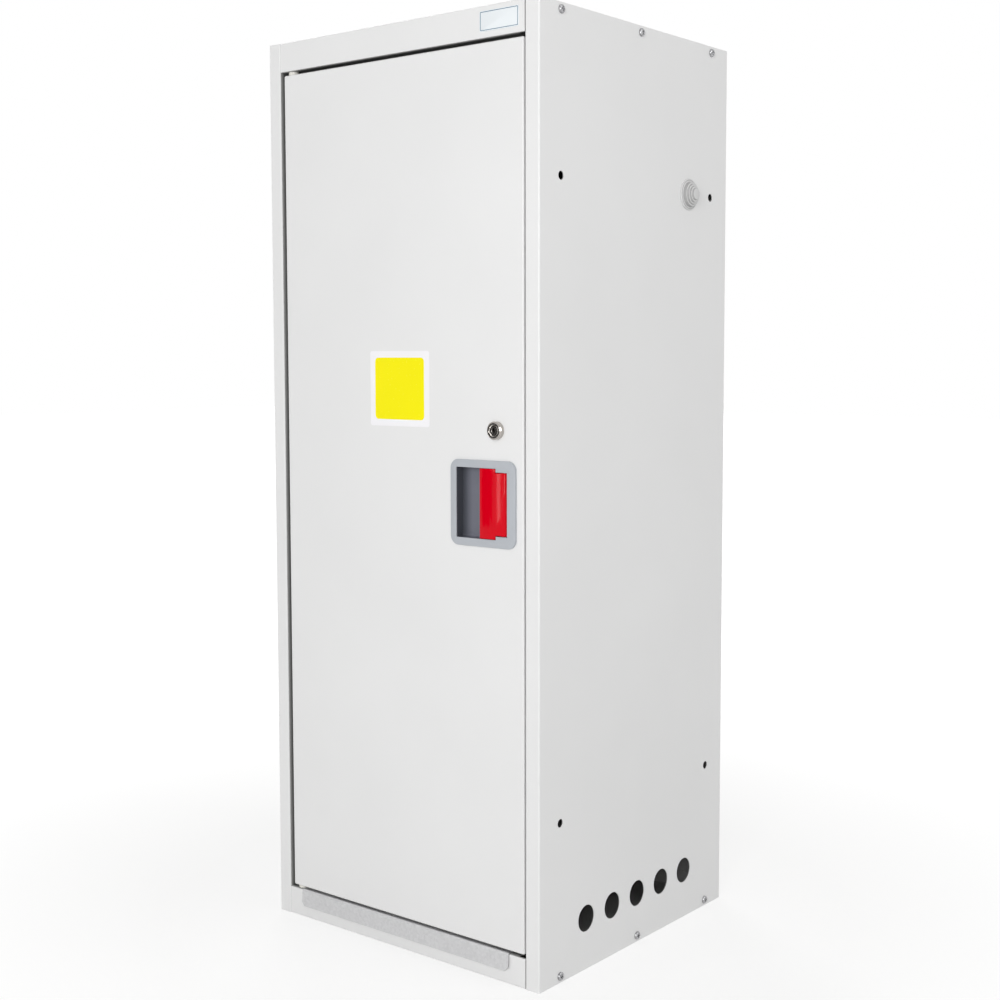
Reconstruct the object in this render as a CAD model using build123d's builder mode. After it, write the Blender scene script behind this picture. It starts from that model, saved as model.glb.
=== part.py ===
from build123d import *
import os

# Gas cylinder cabinet: a folded sheet-steel carcass with one hinged door.
# Millimetres and degrees. The origin is the centre of the base on the floor,
# +X is the lock side, +Y the back and +Z up; the door faces -Y.

# Carcass
cabinet_width = 430
cabinet_depth = 400
cabinet_height = 1120
sheet = 1.2
bend_radius = 2
seam = 0.3
overrun = 1

# Side walls: front stile, its return, the last leg and the rear flange
stile_width = 20
stop_leg = 12
closing_leg = 12
leg_relief = 6
rear_flange = 20

# Top and bottom trays
rail_height = 36
rail_return = 18
rail_return_notch = 10
tray_flange = 15
tray_rear_flange = 25
tray_relief = 2

# Holes in a side wall
vent_count = 5
vent_diameter = 32
vent_inset = 92
vent_height = 62
link_hole_diameter = 10
link_hole_inset = 40
link_hole_end_distance = 190
return_hole_diameter = 6
return_hole_pitch = 33
return_hole_drop = 120

# Hose grommet, as radii and as steps along its axis
grommet_hole = 32
grommet_flange_diameter = 39
grommet_flange_thickness = 2
grommet_lip_diameter = 35
grommet_lip_thickness = 1.6
grommet_wall = 1.6
grommet_step_count = 4
grommet_first_rise = 4
grommet_rise = 2
grommet_first_radius = 15
grommet_step_width = 2.6

# Case screws
case_screw_count = 3
case_screw_inset = 40
case_screw_edge = 8
case_screw_diameter = 5
case_screw_clearance = 0.2
case_screw_head_diameter = 10
case_screw_head_height = 2.8
case_screw_length = 7
screw_recess_length = 5
screw_recess_width = 1.1
screw_recess_depth = 1.6
screw_play = 0.05

# Back panel and its rivets
rivet_diameter = 4
rivet_head_diameter = 8
rivet_head_height = 1.5
rivet_tail_length = 1.4
side_rivet_count = 3
edge_rivet_count = 2
rivet_end_distance = 110
wall_hole_diameter = 9
wall_hole_spacing_x = 300
wall_hole_spacing_z = 820

# Holes in the floor for anchoring the cabinet
anchor_hole_diameter = 9
anchor_spacing_x = 300
anchor_spacing_y = 180
anchor_from_back = 80

# Loading ramp hung over the sill
ramp_sheet = 1.5
ramp_side_gap = 1.5
ramp_lip_drop = 20
ramp_lip_play = 0.3
ramp_lip_flare = 2
ramp_lip_chamfer = 5
ramp_length = 84
ramp_foot = 12
ramp_bend_radius = 2.5

# Cylinder cradle on the back panel
cradle_sheet = 2
cradle_height = 40
cradle_base_height = 690
cradle_plate_width = 180
cradle_arm_spread = 32
cradle_arm_depth = 36
cradle_slot_width = 12
cradle_slot_height = 26
cradle_rivet_spacing = 140

# Door
door_depth = 20
door_sheet = 1.2
door_lip = 14
hinge_gap = 6.5
lock_gap = 2
door_bottom_gap = 4
door_top_gap = 4.5
stop_gap = 3
buffer_diameter = 8
buffer_play = 0.4
buffer_height_shares = (0.12, 0.36, 0.88)

# Door stiffener, a hat-shaped channel behind the skin
stiffener_web = 46
stiffener_crown = 34
stiffener_foot = 14
stiffener_depth = 15

# Pin hinges at the door's top and bottom corners
pivot_inset = 9
pivot_depth = 9
pin_diameter = 6
pin_head_diameter = 9
pin_head_height = 2
pin_fit = 0.05
pin_tip_chamfer = 1
bush_play = 0.1
bush_flange_diameter = 13
bush_barrel_diameter = 10.6
bush_gap = 0.3
bush_overhang = 2
pin_overhang = 2
hinge_bracket_sheet = 3
hinge_bracket_width = 26
hinge_bracket_leg = 24
hinge_plate_sheet = 2
hinge_plate_reach = 42
hinge_plate_rise = 46
hinge_plate_width = 15

# Recessed handle
bezel_width = 96
bezel_height = 100
bezel_radius = 11
bezel_proud = 3
bezel_edge_gap = 10
bezel_edge_fillet = 1
opening_left_border = 8.5
opening_right_border = 12
opening_end_border = 9
tub_depth = 13
tub_wall = 2
tub_fillet = 4
tub_clearance = 0.4
lug_width = 16.5
lug_height = 4.2
retainer_sheet = 1.5
small_screw_diameter = 3
handle_screw_head_diameter = 5.5
handle_screw_head_height = 2
handle_screw_bite = 1.8
handle_screw_inset_x = 10
handle_screw_inset_z = 3.5
small_screw_hole = 3.4

# Paddle, turning on a vertical pin
paddle_reach = 40.5
paddle_recess = 0.5
paddle_thickness = 2.5
paddle_grip_depth = 5
paddle_end_play = 0.5
paddle_lug_gap = 1.1
paddle_edge_bevel = 1.5
hub_radius = 5.5
hub_wall_gap = 1.8
paddle_pin_diameter = 4
paddle_pin_bite = 3.4
crank_radius = 12.4
crank_width = 3
crank_height = 6
crank_nose_radius = 2.5
crank_slot_left = 9.5
crank_slot_right = 3.2
crank_slot_play = 1

# Latch bolt, sliding behind the tub
bolt_gap = 0.4
bolt_thickness = 6
bolt_height = 13
bolt_tail = 6.5
bolt_play = 0.45
bolt_window_play = 0.6
bolt_tip_gap = 0.5
bolt_bevel = 2.5
bolt_slot_play = 0.35
strike_play = 1

# Latch guide: a hat-shaped cover over the bolt, with its spring
guide_sheet = 1.2
guide_play = 0.3
guide_foot = 8
guide_length = 44
guide_bend_radius = 0.6
guide_screw_end_distance = 9
guide_screw_bite = 1.6
guide_screw_head_diameter = 5
guide_screw_head_height = 1.6
spring_diameter = 5.6
spring_wire = 0.8

# Cam lock
lock_edge_distance = 38.5
lock_above_handle = 84.5
lock_head_diameter = 21
lock_head_proud = 6.5
lock_head_chamfer = 1.2
lock_thread_diameter = 18.6
lock_flat_width = 16.4
lock_hole_play = 0.3
lock_face_recess = 0.6
lock_cam_play = 0.4
lock_plug_diameter = 12
lock_plug_play = 0.05
key_slot_width = 1.6
key_slot_height = 8
key_slot_depth = 8
cam_clearance = 0.6
cam_thickness = 2.5
cam_width = 16
cam_reach = 36
cam_square = 8
cam_square_play = 0.1
lock_nut_size = 24
lock_nut_thickness = 4
cam_screw_diameter = 5
cam_screw_head_diameter = 11
cam_screw_head_height = 3.5
cam_screw_length = 9

# Places that follow from the sizes above
half_width = cabinet_width / 2
inner_half = half_width - sheet
front = -cabinet_depth / 2
back = cabinet_depth / 2
mid_height = cabinet_height / 2
stile_inner = half_width - stile_width
stile_depth = door_depth + stop_gap
stop_face = front + stile_depth
panel_back = back - sheet
panel_front = panel_back - sheet
rail_half = stile_inner - seam
rail_top = cabinet_height - rail_height

door_left = -stile_inner + hinge_gap
door_right = stile_inner - lock_gap
door_low = rail_height + door_bottom_gap
door_high = rail_top - door_top_gap
door_mid_x = (door_left + door_right) / 2
door_mid_z = (door_low + door_high) / 2
door_width = door_right - door_left
door_height = door_high - door_low
skin_inside = front + door_sheet
door_rear = front + door_depth
pivot_x = door_left + pivot_inset
pivot_y = front + pivot_depth

handle_z = door_mid_z
bezel_right = door_right - bezel_edge_gap
bezel_left = bezel_right - bezel_width
bezel_x = (bezel_left + bezel_right) / 2
bezel_front = front - bezel_proud
opening_left = bezel_left + opening_left_border
opening_right = bezel_right - opening_right_border
opening_width = opening_right - opening_left
opening_height = bezel_height - 2 * opening_end_border
opening_x = (opening_left + opening_right) / 2
tub_floor = bezel_front + tub_depth
tub_back = tub_floor + tub_wall
lug_left = opening_right - lug_width

paddle_face = bezel_front + paddle_recess
paddle_axis_x = opening_right - hub_wall_gap - hub_radius
paddle_axis_y = paddle_face + hub_radius
paddle_left = opening_right - paddle_reach
paddle_full_right = lug_left - paddle_lug_gap
paddle_full_height = opening_height - 2 * paddle_end_play
paddle_hub_height = opening_height - 2 * (lug_height + paddle_end_play)
crank_y = paddle_axis_y + crank_radius

bolt_front = tub_back + bolt_gap
bolt_rear = bolt_front + bolt_thickness
bolt_y = (bolt_front + bolt_rear) / 2
bolt_tip = stile_inner - bolt_tip_gap
bolt_end = paddle_axis_x - bolt_tail
guide_inside = bolt_rear + guide_play
guide_half = bolt_height / 2 + guide_play
guide_right = door_right - door_lip - seam
guide_left = guide_right - guide_length

lock_x = door_right - lock_edge_distance
lock_z = handle_z + lock_above_handle
cam_front = stop_face + sheet + cam_clearance
cam_back = cam_front + cam_thickness

vent_pitch = (cabinet_depth - 2 * vent_inset) / (vent_count - 1)
vent_ys = [front + vent_inset + vent_pitch * i for i in range(vent_count)]
link_ys = (front + link_hole_inset, back - link_hole_inset)
link_zs = (link_hole_end_distance, cabinet_height - link_hole_end_distance)
grommet_y = vent_ys[-1]
grommet_z = link_zs[-1]
screw_span = cabinet_depth - 2 * case_screw_inset
screw_ys = [front + case_screw_inset + screw_span * i / (case_screw_count - 1)
            for i in range(case_screw_count)]
screw_zs = (case_screw_edge, cabinet_height - case_screw_edge)

back_half = half_width - bend_radius - seam
case_screw_hole = case_screw_diameter / 2 + case_screw_clearance
rivet_hole = rivet_diameter / 2 + screw_play
rivet_x = half_width - rear_flange / 2
rivet_span = cabinet_height - 2 * rivet_end_distance
rivet_zs = [rivet_end_distance + rivet_span * i / (side_rivet_count - 1)
            for i in range(side_rivet_count)]
edge_rivet_pitch = cabinet_width / (edge_rivet_count + 1)
edge_rivet_xs = [edge_rivet_pitch * (i - (edge_rivet_count - 1) / 2)
                 for i in range(edge_rivet_count)]
edge_rivet_z = tray_rear_flange / 2
cradle_z = cradle_base_height + cradle_height / 2
cradle_rivet_xs = (-cradle_rivet_spacing / 2, cradle_rivet_spacing / 2)

front_plane = Plane.XZ.offset(-front)
side_plane = Plane.YZ.offset(half_width)
back_plane = Plane.XZ.offset(-back)


def side_blank(leg):
    """Right-hand side wall; leg is the last fold of its stile, negative towards the door."""
    with BuildPart() as blank:
        with BuildSketch():
            with BuildLine():
                FilletPolyline(
                    (half_width - rear_flange, back),
                    (half_width, back),
                    (half_width, front),
                    (stile_inner, front),
                    (stile_inner, stop_face),
                    (stile_inner + leg, stop_face),
                    radius=bend_radius,
                )
                offset(amount=sheet, side=Side.RIGHT)
            make_face()
        extrude(amount=cabinet_height)
        with BuildSketch(side_plane.offset(overrun)):
            with Locations([(y, vent_height) for y in vent_ys]):
                Circle(vent_diameter / 2)
            with Locations([(y, z) for y in link_ys for z in link_zs]):
                Circle(link_hole_diameter / 2)
            with Locations([(y, z) for y in screw_ys for z in screw_zs]):
                Circle(case_screw_hole)
            with Locations((grommet_y, grommet_z)):
                Circle(grommet_hole / 2)
        extrude(amount=-(sheet + 2 * overrun), mode=Mode.SUBTRACT)
        with BuildSketch(back_plane.offset(-overrun)):
            with Locations([(rivet_x, z) for z in rivet_zs]):
                Circle(rivet_hole)
        extrude(amount=sheet + 2 * overrun, mode=Mode.SUBTRACT)
        # The stile's folds end short of the trays' plates, which close its ends.
        for end in (0, cabinet_height):
            with Locations((stile_inner - overrun, front + bend_radius, end)):
                Box(closing_leg + 2 * overrun, stile_depth, 2 * (sheet + seam),
                    align=(Align.MIN, Align.MIN, Align.CENTER), mode=Mode.SUBTRACT)
    return blank


# Right side wall: its stile ends in the stop leg that the door closes against
with BuildPart() as side_panel_right:
    add(side_blank(-stop_leg).part)
    for low, high in ((0, rail_height + leg_relief), (rail_top - leg_relief, cabinet_height)):
        with Locations((stile_inner, stop_face, (low + high) / 2)):
            Box(stop_leg + overrun, 2 * stile_width, high - low,
                align=(Align.MAX, Align.CENTER, Align.CENTER), mode=Mode.SUBTRACT)
    with BuildSketch(Plane.YZ.offset(stile_inner - overrun)):
        with Locations((bolt_y, handle_z)):
            Rectangle(bolt_thickness + 2 * strike_play, bolt_height + 2 * strike_play)
    extrude(amount=sheet + 2 * overrun, mode=Mode.SUBTRACT)

# Left side wall: its stile is closed to a box, clear of the turning door edge
with BuildPart() as hinge_side:
    add(side_blank(closing_leg).part)
    with BuildSketch(Plane.YZ.offset(stile_inner - overrun)):
        for step in range(2):
            with Locations((bolt_y, rail_top - return_hole_drop + step * return_hole_pitch)):
                Circle(return_hole_diameter / 2)
    extrude(amount=sheet + 2 * overrun, mode=Mode.SUBTRACT)
with BuildPart() as side_panel_left:
    mirror(hinge_side.part, about=Plane.YZ)

# Folded tray: the floor and, turned over, the roof. Its front edge is the rail.
with BuildPart() as tray:
    with BuildSketch(Plane.YZ):
        with BuildLine():
            FilletPolyline(
                (panel_front, tray_rear_flange),
                (panel_front, 0),
                (front, 0),
                (front, rail_height),
                (front + rail_return, rail_height),
                radius=bend_radius,
            )
            offset(amount=sheet, side=Side.RIGHT)
        make_face()
    extrude(amount=inner_half, both=True)
    # The rail ends at the stiles, behind whose fronts the plate's corners reach.
    for hand in (-1, 1):
        with Locations((hand * (rail_half + stile_width / 2), front, 0)):
            Box(stile_width, 2 * (bend_radius + seam), 2 * sheet + overrun, mode=Mode.SUBTRACT)
        with Locations((hand * (rail_half + stile_width / 2), front, rail_height)):
            Box(stile_width, 2 * rail_return + overrun, 2 * (rail_height - sheet - seam),
                mode=Mode.SUBTRACT)
    with Locations((rail_half, front + bend_radius, rail_height)):
        Box(rail_return_notch, rail_return, 2 * bend_radius,
            align=(Align.MAX, Align.MIN, Align.CENTER), mode=Mode.SUBTRACT)
    flange_start = stop_face + tray_relief
    flange_end = panel_front - bend_radius
    for hand in (-1, 1):
        with Locations((hand * (inner_half - sheet / 2), flange_start, 0)):
            Box(sheet, flange_end - flange_start, tray_flange,
                align=(Align.CENTER, Align.MIN, Align.MIN))
    with BuildSketch(Plane.YZ.offset(-inner_half - overrun)):
        with Locations([(y, case_screw_edge) for y in screw_ys]):
            Circle(case_screw_diameter / 2 + screw_play)
    extrude(amount=2 * (inner_half + overrun), mode=Mode.SUBTRACT)
    with BuildSketch(Plane.XY.offset(rail_height + overrun)):
        with Locations((pivot_x, pivot_y)):
            Circle(pin_diameter / 2 + pin_fit)
    extrude(amount=-(sheet + 2 * overrun), mode=Mode.SUBTRACT)
    with BuildSketch(Plane.XZ.offset(-panel_front - overrun)):
        with Locations([(x, edge_rivet_z) for x in edge_rivet_xs]):
            Circle(rivet_hole)
    extrude(amount=sheet + 2 * overrun, mode=Mode.SUBTRACT)

with BuildPart() as bottom_panel:
    add(tray.part)
    with BuildSketch(Plane.XY.offset(-overrun)):
        with Locations((0, back - anchor_from_back - anchor_spacing_y / 2)):
            with GridLocations(anchor_spacing_x, anchor_spacing_y, 2, 2):
                Circle(anchor_hole_diameter / 2)
    extrude(amount=sheet + 2 * overrun, mode=Mode.SUBTRACT)

with BuildPart() as top_panel:
    mirror(tray.part, about=Plane.XY.offset(mid_height))

# Back panel, held between the side walls' rear flanges and the trays' rear flanges
side_rivets = [(hand * rivet_x, z) for hand in (-1, 1) for z in rivet_zs]
edge_rivets = [(x, z) for x in edge_rivet_xs for z in (edge_rivet_z, cabinet_height - edge_rivet_z)]
cradle_rivets_at = [(x, cradle_z) for x in cradle_rivet_xs]
with BuildPart() as back_panel:
    with BuildSketch(Plane.XZ.offset(-panel_back)):
        with Locations((0, mid_height)):
            Rectangle(2 * back_half, cabinet_height - 2 * seam)
            with GridLocations(wall_hole_spacing_x, wall_hole_spacing_z, 2, 2):
                Circle(wall_hole_diameter / 2, mode=Mode.SUBTRACT)
        with Locations(side_rivets + edge_rivets + cradle_rivets_at):
            Circle(rivet_hole, mode=Mode.SUBTRACT)
    extrude(amount=sheet)


def rivets(places, head_face):
    """Blind rivets through two sheets: a head behind head_face, and a shank set in front."""
    grip = 2 * sheet
    with BuildPart() as group:
        for reach, diameter in ((-rivet_head_height, rivet_head_diameter),
                                (grip + rivet_tail_length, rivet_diameter)):
            with BuildSketch(Plane.XZ.offset(-head_face)):
                with Locations(places):
                    Circle(diameter / 2)
            extrude(amount=reach)
    return group


with BuildPart() as back_rivets:
    add(rivets(side_rivets, back).part)
    add(rivets(edge_rivets, panel_back).part)

# Cylinder cradle: a shallow channel whose arms steady the cylinder's shell
plate_half = cradle_plate_width / 2
arm_end = plate_half + cradle_arm_spread
arm_front = panel_front - cradle_arm_depth
with BuildPart() as cylinder_cradle:
    with BuildSketch(Plane.XY.offset(cradle_base_height)):
        with BuildLine():
            FilletPolyline(
                (-arm_end, arm_front),
                (-plate_half, panel_front),
                (plate_half, panel_front),
                (arm_end, arm_front),
                radius=2 * cradle_sheet,
            )
            offset(amount=cradle_sheet, side=Side.RIGHT)
        make_face()
    extrude(amount=cradle_height)
    with BuildSketch(Plane.XZ.offset(-panel_front)):
        for hand in (-1, 1):
            with Locations((hand * (plate_half + arm_end) / 2, cradle_z)):
                RectangleRounded(cradle_slot_width, cradle_slot_height, cradle_slot_width / 4)
    extrude(amount=cradle_arm_depth + 2 * cradle_sheet, mode=Mode.SUBTRACT)
    with BuildSketch(Plane.XZ.offset(-panel_front)):
        with Locations(cradle_rivets_at):
            Circle(rivet_hole)
    extrude(amount=cradle_sheet + overrun, mode=Mode.SUBTRACT)

# The cradle's rivets have their heads inside and flat tails behind the back panel.
cradle_face = panel_front - cradle_sheet
with BuildPart() as cradle_rivets:
    with BuildSketch(Plane.XZ.offset(-cradle_face)):
        with Locations(cradle_rivets_at):
            Circle(rivet_head_diameter / 2)
    extrude(amount=rivet_head_height)
    with BuildSketch(Plane.XZ.offset(-cradle_face)):
        with Locations(cradle_rivets_at):
            Circle(rivet_diameter / 2)
    extrude(amount=-(cradle_sheet + sheet))
    with BuildSketch(Plane.XZ.offset(-panel_back)):
        with Locations(cradle_rivets_at):
            Circle((rivet_diameter + rivet_head_diameter) / 4)
    extrude(amount=-sheet)

# Case screws, which cut their own thread in the trays' side flanges
with BuildPart() as right_screws:
    with BuildSketch(side_plane):
        with Locations([(y, z) for y in screw_ys for z in screw_zs]):
            Circle(case_screw_head_diameter / 2)
    extrude(amount=case_screw_head_height)
    head_rims = right_screws.faces().group_by(Axis.X)[-1].edges()
    chamfer(head_rims, length=case_screw_head_height / 3)
    with BuildSketch(side_plane.offset(case_screw_head_height)):
        with Locations([(y, z) for y in screw_ys for z in screw_zs]):
            Rectangle(screw_recess_length, screw_recess_width)
            Rectangle(screw_recess_width, screw_recess_length)
    extrude(amount=-screw_recess_depth, mode=Mode.SUBTRACT)
    with BuildSketch(side_plane):
        with Locations([(y, z) for y in screw_ys for z in screw_zs]):
            Circle(case_screw_diameter / 2)
    extrude(amount=-case_screw_length)
with BuildPart() as case_screws:
    add(right_screws.part)
    mirror(right_screws.part, about=Plane.YZ)

# Hose grommet: a flanged ring in the wall's hole, with a stepped cone that is cut to the hose
barrel_radius = grommet_hole / 2
ring_radius = barrel_radius - grommet_wall
lip_back = -sheet - grommet_lip_thickness
step_radii = [grommet_first_radius - k * grommet_step_width for k in range(grommet_step_count)]
step_tops = [grommet_flange_thickness + grommet_first_rise + k * grommet_rise
             for k in range(grommet_step_count)]
step_starts = [grommet_flange_thickness] + step_tops[:-1]
step_corners = [(height, radius) for low, high, radius in zip(step_starts, step_tops, step_radii)
                for height in (low, high)]
with BuildPart() as hose_grommet_right:
    section = Plane((half_width, grommet_y, grommet_z), x_dir=(1, 0, 0), z_dir=(0, 0, 1))
    with BuildSketch(section):
        with BuildLine():
            Polyline(
                (0, barrel_radius),
                (0, grommet_flange_diameter / 2),
                (grommet_flange_thickness, grommet_flange_diameter / 2),
                *step_corners,
                (step_tops[-1], 0),
                (step_tops[-1] - grommet_wall, 0),
                (step_tops[-1] - grommet_wall, step_radii[-1] - grommet_wall),
                (0, ring_radius),
                (lip_back, ring_radius),
                (lip_back, grommet_lip_diameter / 2),
                (-sheet, grommet_lip_diameter / 2),
                (-sheet, barrel_radius),
                close=True,
            )
        make_face()
    revolve(axis=Axis((half_width, grommet_y, grommet_z), (1, 0, 0)))
with BuildPart() as hose_grommet_left:
    mirror(hose_grommet_right.part, about=Plane.YZ)

# Loading ramp: its lip hangs in front of the sill and its plate slopes down to the floor
ramp_top = rail_height + ramp_sheet
ramp_low = sheet + ramp_sheet
lip_top_y = front - ramp_lip_play - ramp_sheet
ramp_half = -pivot_x - bush_flange_diameter / 2 - ramp_side_gap
with BuildPart() as loading_ramp:
    with BuildSketch(Plane.YZ):
        with BuildLine():
            FilletPolyline(
                (lip_top_y - ramp_lip_flare, rail_height - ramp_lip_drop),
                (lip_top_y, ramp_top),
                (front + rail_return + ramp_sheet, ramp_top),
                (front + rail_return + ramp_length, ramp_low),
                (front + rail_return + ramp_length + ramp_foot, ramp_low),
                radius=ramp_bend_radius,
            )
            offset(amount=ramp_sheet, side=Side.RIGHT)
        make_face()
    extrude(amount=ramp_half, both=True)
    lip_end = loading_ramp.faces().filter_by(lambda f: f.center().Y < front).sort_by(Axis.Z)[0]
    chamfer(lip_end.edges().filter_by(lambda e: e.length < 2 * ramp_sheet), length=ramp_lip_chamfer)

# Rubber buffers on the stop leg
buffer_x = stile_inner - stop_leg / 2
with BuildPart() as door_buffers:
    with BuildSketch(Plane.XZ.offset(-stop_face)):
        with Locations([(buffer_x, share * cabinet_height) for share in buffer_height_shares]):
            Circle(buffer_diameter / 2)
    extrude(amount=stop_gap - buffer_play)

# Hinge bracket behind the rail, and the headed pin that stands up through both
bracket_top = rail_height - sheet
bracket_low = bracket_top - hinge_bracket_sheet
rail_inside = front + sheet
pin_top = door_low + door_sheet + hinge_plate_sheet + bush_overhang + pin_overhang
with BuildPart() as hinge_bracket_lower:
    with BuildSketch(Plane.YZ.offset(pivot_x - hinge_bracket_width / 2)):
        with Locations((rail_inside, bracket_top)):
            Rectangle(rail_return - sheet, hinge_bracket_sheet, align=(Align.MIN, Align.MAX))
            Rectangle(hinge_bracket_sheet, hinge_bracket_leg, align=(Align.MIN, Align.MAX))
    extrude(amount=hinge_bracket_width)
    outer_corner = hinge_bracket_lower.edges().filter_by(Axis.X).group_by(Axis.Z)[-1].sort_by(Axis.Y)[0]
    chamfer(outer_corner, length=bend_radius)
    with BuildSketch(Plane.XY.offset(bracket_top + overrun)):
        with Locations((pivot_x, pivot_y)):
            Circle(pin_diameter / 2 + pin_fit)
    extrude(amount=-(hinge_bracket_sheet + 2 * overrun), mode=Mode.SUBTRACT)
with BuildPart() as hinge_bracket_upper:
    mirror(hinge_bracket_lower.part, about=Plane.XY.offset(mid_height))

with BuildPart() as hinge_pin_lower:
    with BuildSketch(Plane.XY.offset(bracket_low)):
        with Locations((pivot_x, pivot_y)):
            Circle(pin_head_diameter / 2)
    extrude(amount=-pin_head_height)
    with BuildSketch(Plane.XY.offset(bracket_low)):
        with Locations((pivot_x, pivot_y)):
            Circle(pin_diameter / 2)
    extrude(amount=pin_top - bracket_low)
    chamfer(hinge_pin_lower.faces().sort_by(Axis.Z)[-1].edges(), length=pin_tip_chamfer)
with BuildPart() as hinge_pin_upper:
    mirror(hinge_pin_lower.part, about=Plane.XY.offset(mid_height))


def hinge_bush(skin, toward_rail, rail):
    """Flanged bush: its flange fills the gap to the rail, its barrel passes the door's edge."""
    flange = abs(rail - skin) - bush_gap
    barrel = door_sheet + hinge_plate_sheet + bush_overhang
    with BuildPart() as bush:
        for reach, diameter in ((toward_rail * flange, bush_flange_diameter),
                                (-toward_rail * barrel, bush_barrel_diameter)):
            with BuildSketch(Plane.XY.offset(skin)):
                with Locations((pivot_x, pivot_y)):
                    Circle(diameter / 2)
            extrude(amount=reach)
        with BuildSketch(Plane.XY.offset(skin - toward_rail * (barrel + overrun))):
            with Locations((pivot_x, pivot_y)):
                Circle(pin_diameter / 2 + bush_play)
        extrude(amount=toward_rail * (flange + barrel + 2 * overrun), mode=Mode.SUBTRACT)
    return bush


hinge_bush_lower = hinge_bush(door_low, -1, rail_height)
hinge_bush_upper = hinge_bush(door_high, 1, rail_top)


def hinge_plate(edge, inward):
    """Angle plate in the door's corner, along the edge fold and up the side fold."""
    corner = (door_left + door_sheet, edge + inward * door_sheet)
    align_z = Align.MIN if inward > 0 else Align.MAX
    with BuildPart() as plate:
        with BuildSketch(Plane.XZ.offset(-(pivot_y - hinge_plate_width / 2))) as profile:
            with Locations(corner):
                Rectangle(hinge_plate_reach, hinge_plate_sheet, align=(Align.MIN, align_z))
                Rectangle(hinge_plate_sheet, hinge_plate_rise, align=(Align.MIN, align_z))
            side_ends = profile.vertices().group_by(Axis.X)[0].sort_by(Axis.Y)
            chamfer(side_ends[0] if inward > 0 else side_ends[-1], length=bend_radius)
        extrude(amount=-hinge_plate_width)
        with BuildSketch(Plane.XY.offset(edge)):
            with Locations((pivot_x, pivot_y)):
                Circle(bush_barrel_diameter / 2 + pin_fit)
        extrude(amount=inward * (door_sheet + hinge_plate_sheet + overrun), mode=Mode.SUBTRACT)
    return plate


door_hinge_plate_lower = hinge_plate(door_low, 1)
door_hinge_plate_upper = hinge_plate(door_high, -1)

# Door: a folded pan with rear lips, cut for the handle, the lock, the bushes and the bolt
cut_width = opening_width + 2 * (tub_wall + tub_clearance)
cut_height = opening_height + 2 * (tub_wall + tub_clearance)
lock_hole_radius = (lock_thread_diameter + lock_hole_play) / 2
handle_screw_x = bezel_width / 2 - handle_screw_inset_x
handle_screw_z = bezel_height / 2 - handle_screw_inset_z
handle_screws_at = [(bezel_x + i * handle_screw_x, handle_z + j * handle_screw_z)
                    for i in (-1, 1) for j in (-1, 1)]
with BuildPart() as door_panel:
    with BuildSketch(front_plane):
        with Locations((door_mid_x, door_mid_z)):
            RectangleRounded(door_width, door_height, bend_radius)
    extrude(amount=-door_depth)
    fillet(door_panel.faces().sort_by(Axis.Y)[0].edges(), radius=bend_radius)
    with BuildSketch(front_plane.offset(-door_sheet)):
        with Locations((door_mid_x, door_mid_z)):
            RectangleRounded(door_width - 2 * door_sheet, door_height - 2 * door_sheet,
                             bend_radius - door_sheet)
    extrude(amount=-(door_depth - 2 * door_sheet), mode=Mode.SUBTRACT)
    with BuildSketch(front_plane.offset(-door_depth - overrun)):
        with Locations((door_mid_x, door_mid_z)):
            Rectangle(door_width - 2 * door_lip, door_height - 2 * door_lip)
    extrude(amount=door_sheet + 2 * overrun, mode=Mode.SUBTRACT)
    with BuildSketch(front_plane.offset(overrun)):
        with Locations((opening_x, handle_z)):
            Rectangle(cut_width, cut_height)
        with Locations(handle_screws_at):
            Circle(small_screw_hole / 2)
    extrude(amount=-(door_sheet + 2 * overrun), mode=Mode.SUBTRACT)
    with BuildSketch(front_plane.offset(overrun)):
        with Locations((lock_x, lock_z)):
            Circle(lock_hole_radius)
            Rectangle(lock_flat_width + lock_hole_play, 2 * lock_hole_radius, mode=Mode.INTERSECT)
    extrude(amount=-(door_sheet + 2 * overrun), mode=Mode.SUBTRACT)
    with BuildSketch(Plane.XY.offset(door_low - overrun)):
        with Locations((pivot_x, pivot_y)):
            Circle(bush_barrel_diameter / 2 + pin_fit)
    extrude(amount=door_height + 2 * overrun, mode=Mode.SUBTRACT)
    with BuildSketch(Plane.YZ.offset(door_right + overrun)):
        with Locations((bolt_y, handle_z)):
            Rectangle(bolt_thickness + 2 * bolt_slot_play, bolt_height + 2 * bolt_slot_play)
    extrude(amount=-(door_sheet + 2 * overrun), mode=Mode.SUBTRACT)

# Stiffener, from the pan's bottom fold to its top fold
with BuildPart() as door_stiffener:
    with BuildSketch(Plane.XY.offset(door_low + door_sheet)):
        with BuildLine():
            FilletPolyline(
                (door_mid_x - stiffener_web / 2 - stiffener_foot, skin_inside),
                (door_mid_x - stiffener_web / 2, skin_inside),
                (door_mid_x - stiffener_crown / 2, skin_inside + stiffener_depth),
                (door_mid_x + stiffener_crown / 2, skin_inside + stiffener_depth),
                (door_mid_x + stiffener_web / 2, skin_inside),
                (door_mid_x + stiffener_web / 2 + stiffener_foot, skin_inside),
                radius=bend_radius,
            )
            offset(amount=door_sheet, side=Side.LEFT)
        make_face()
    extrude(amount=door_height - 2 * door_sheet)

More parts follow.
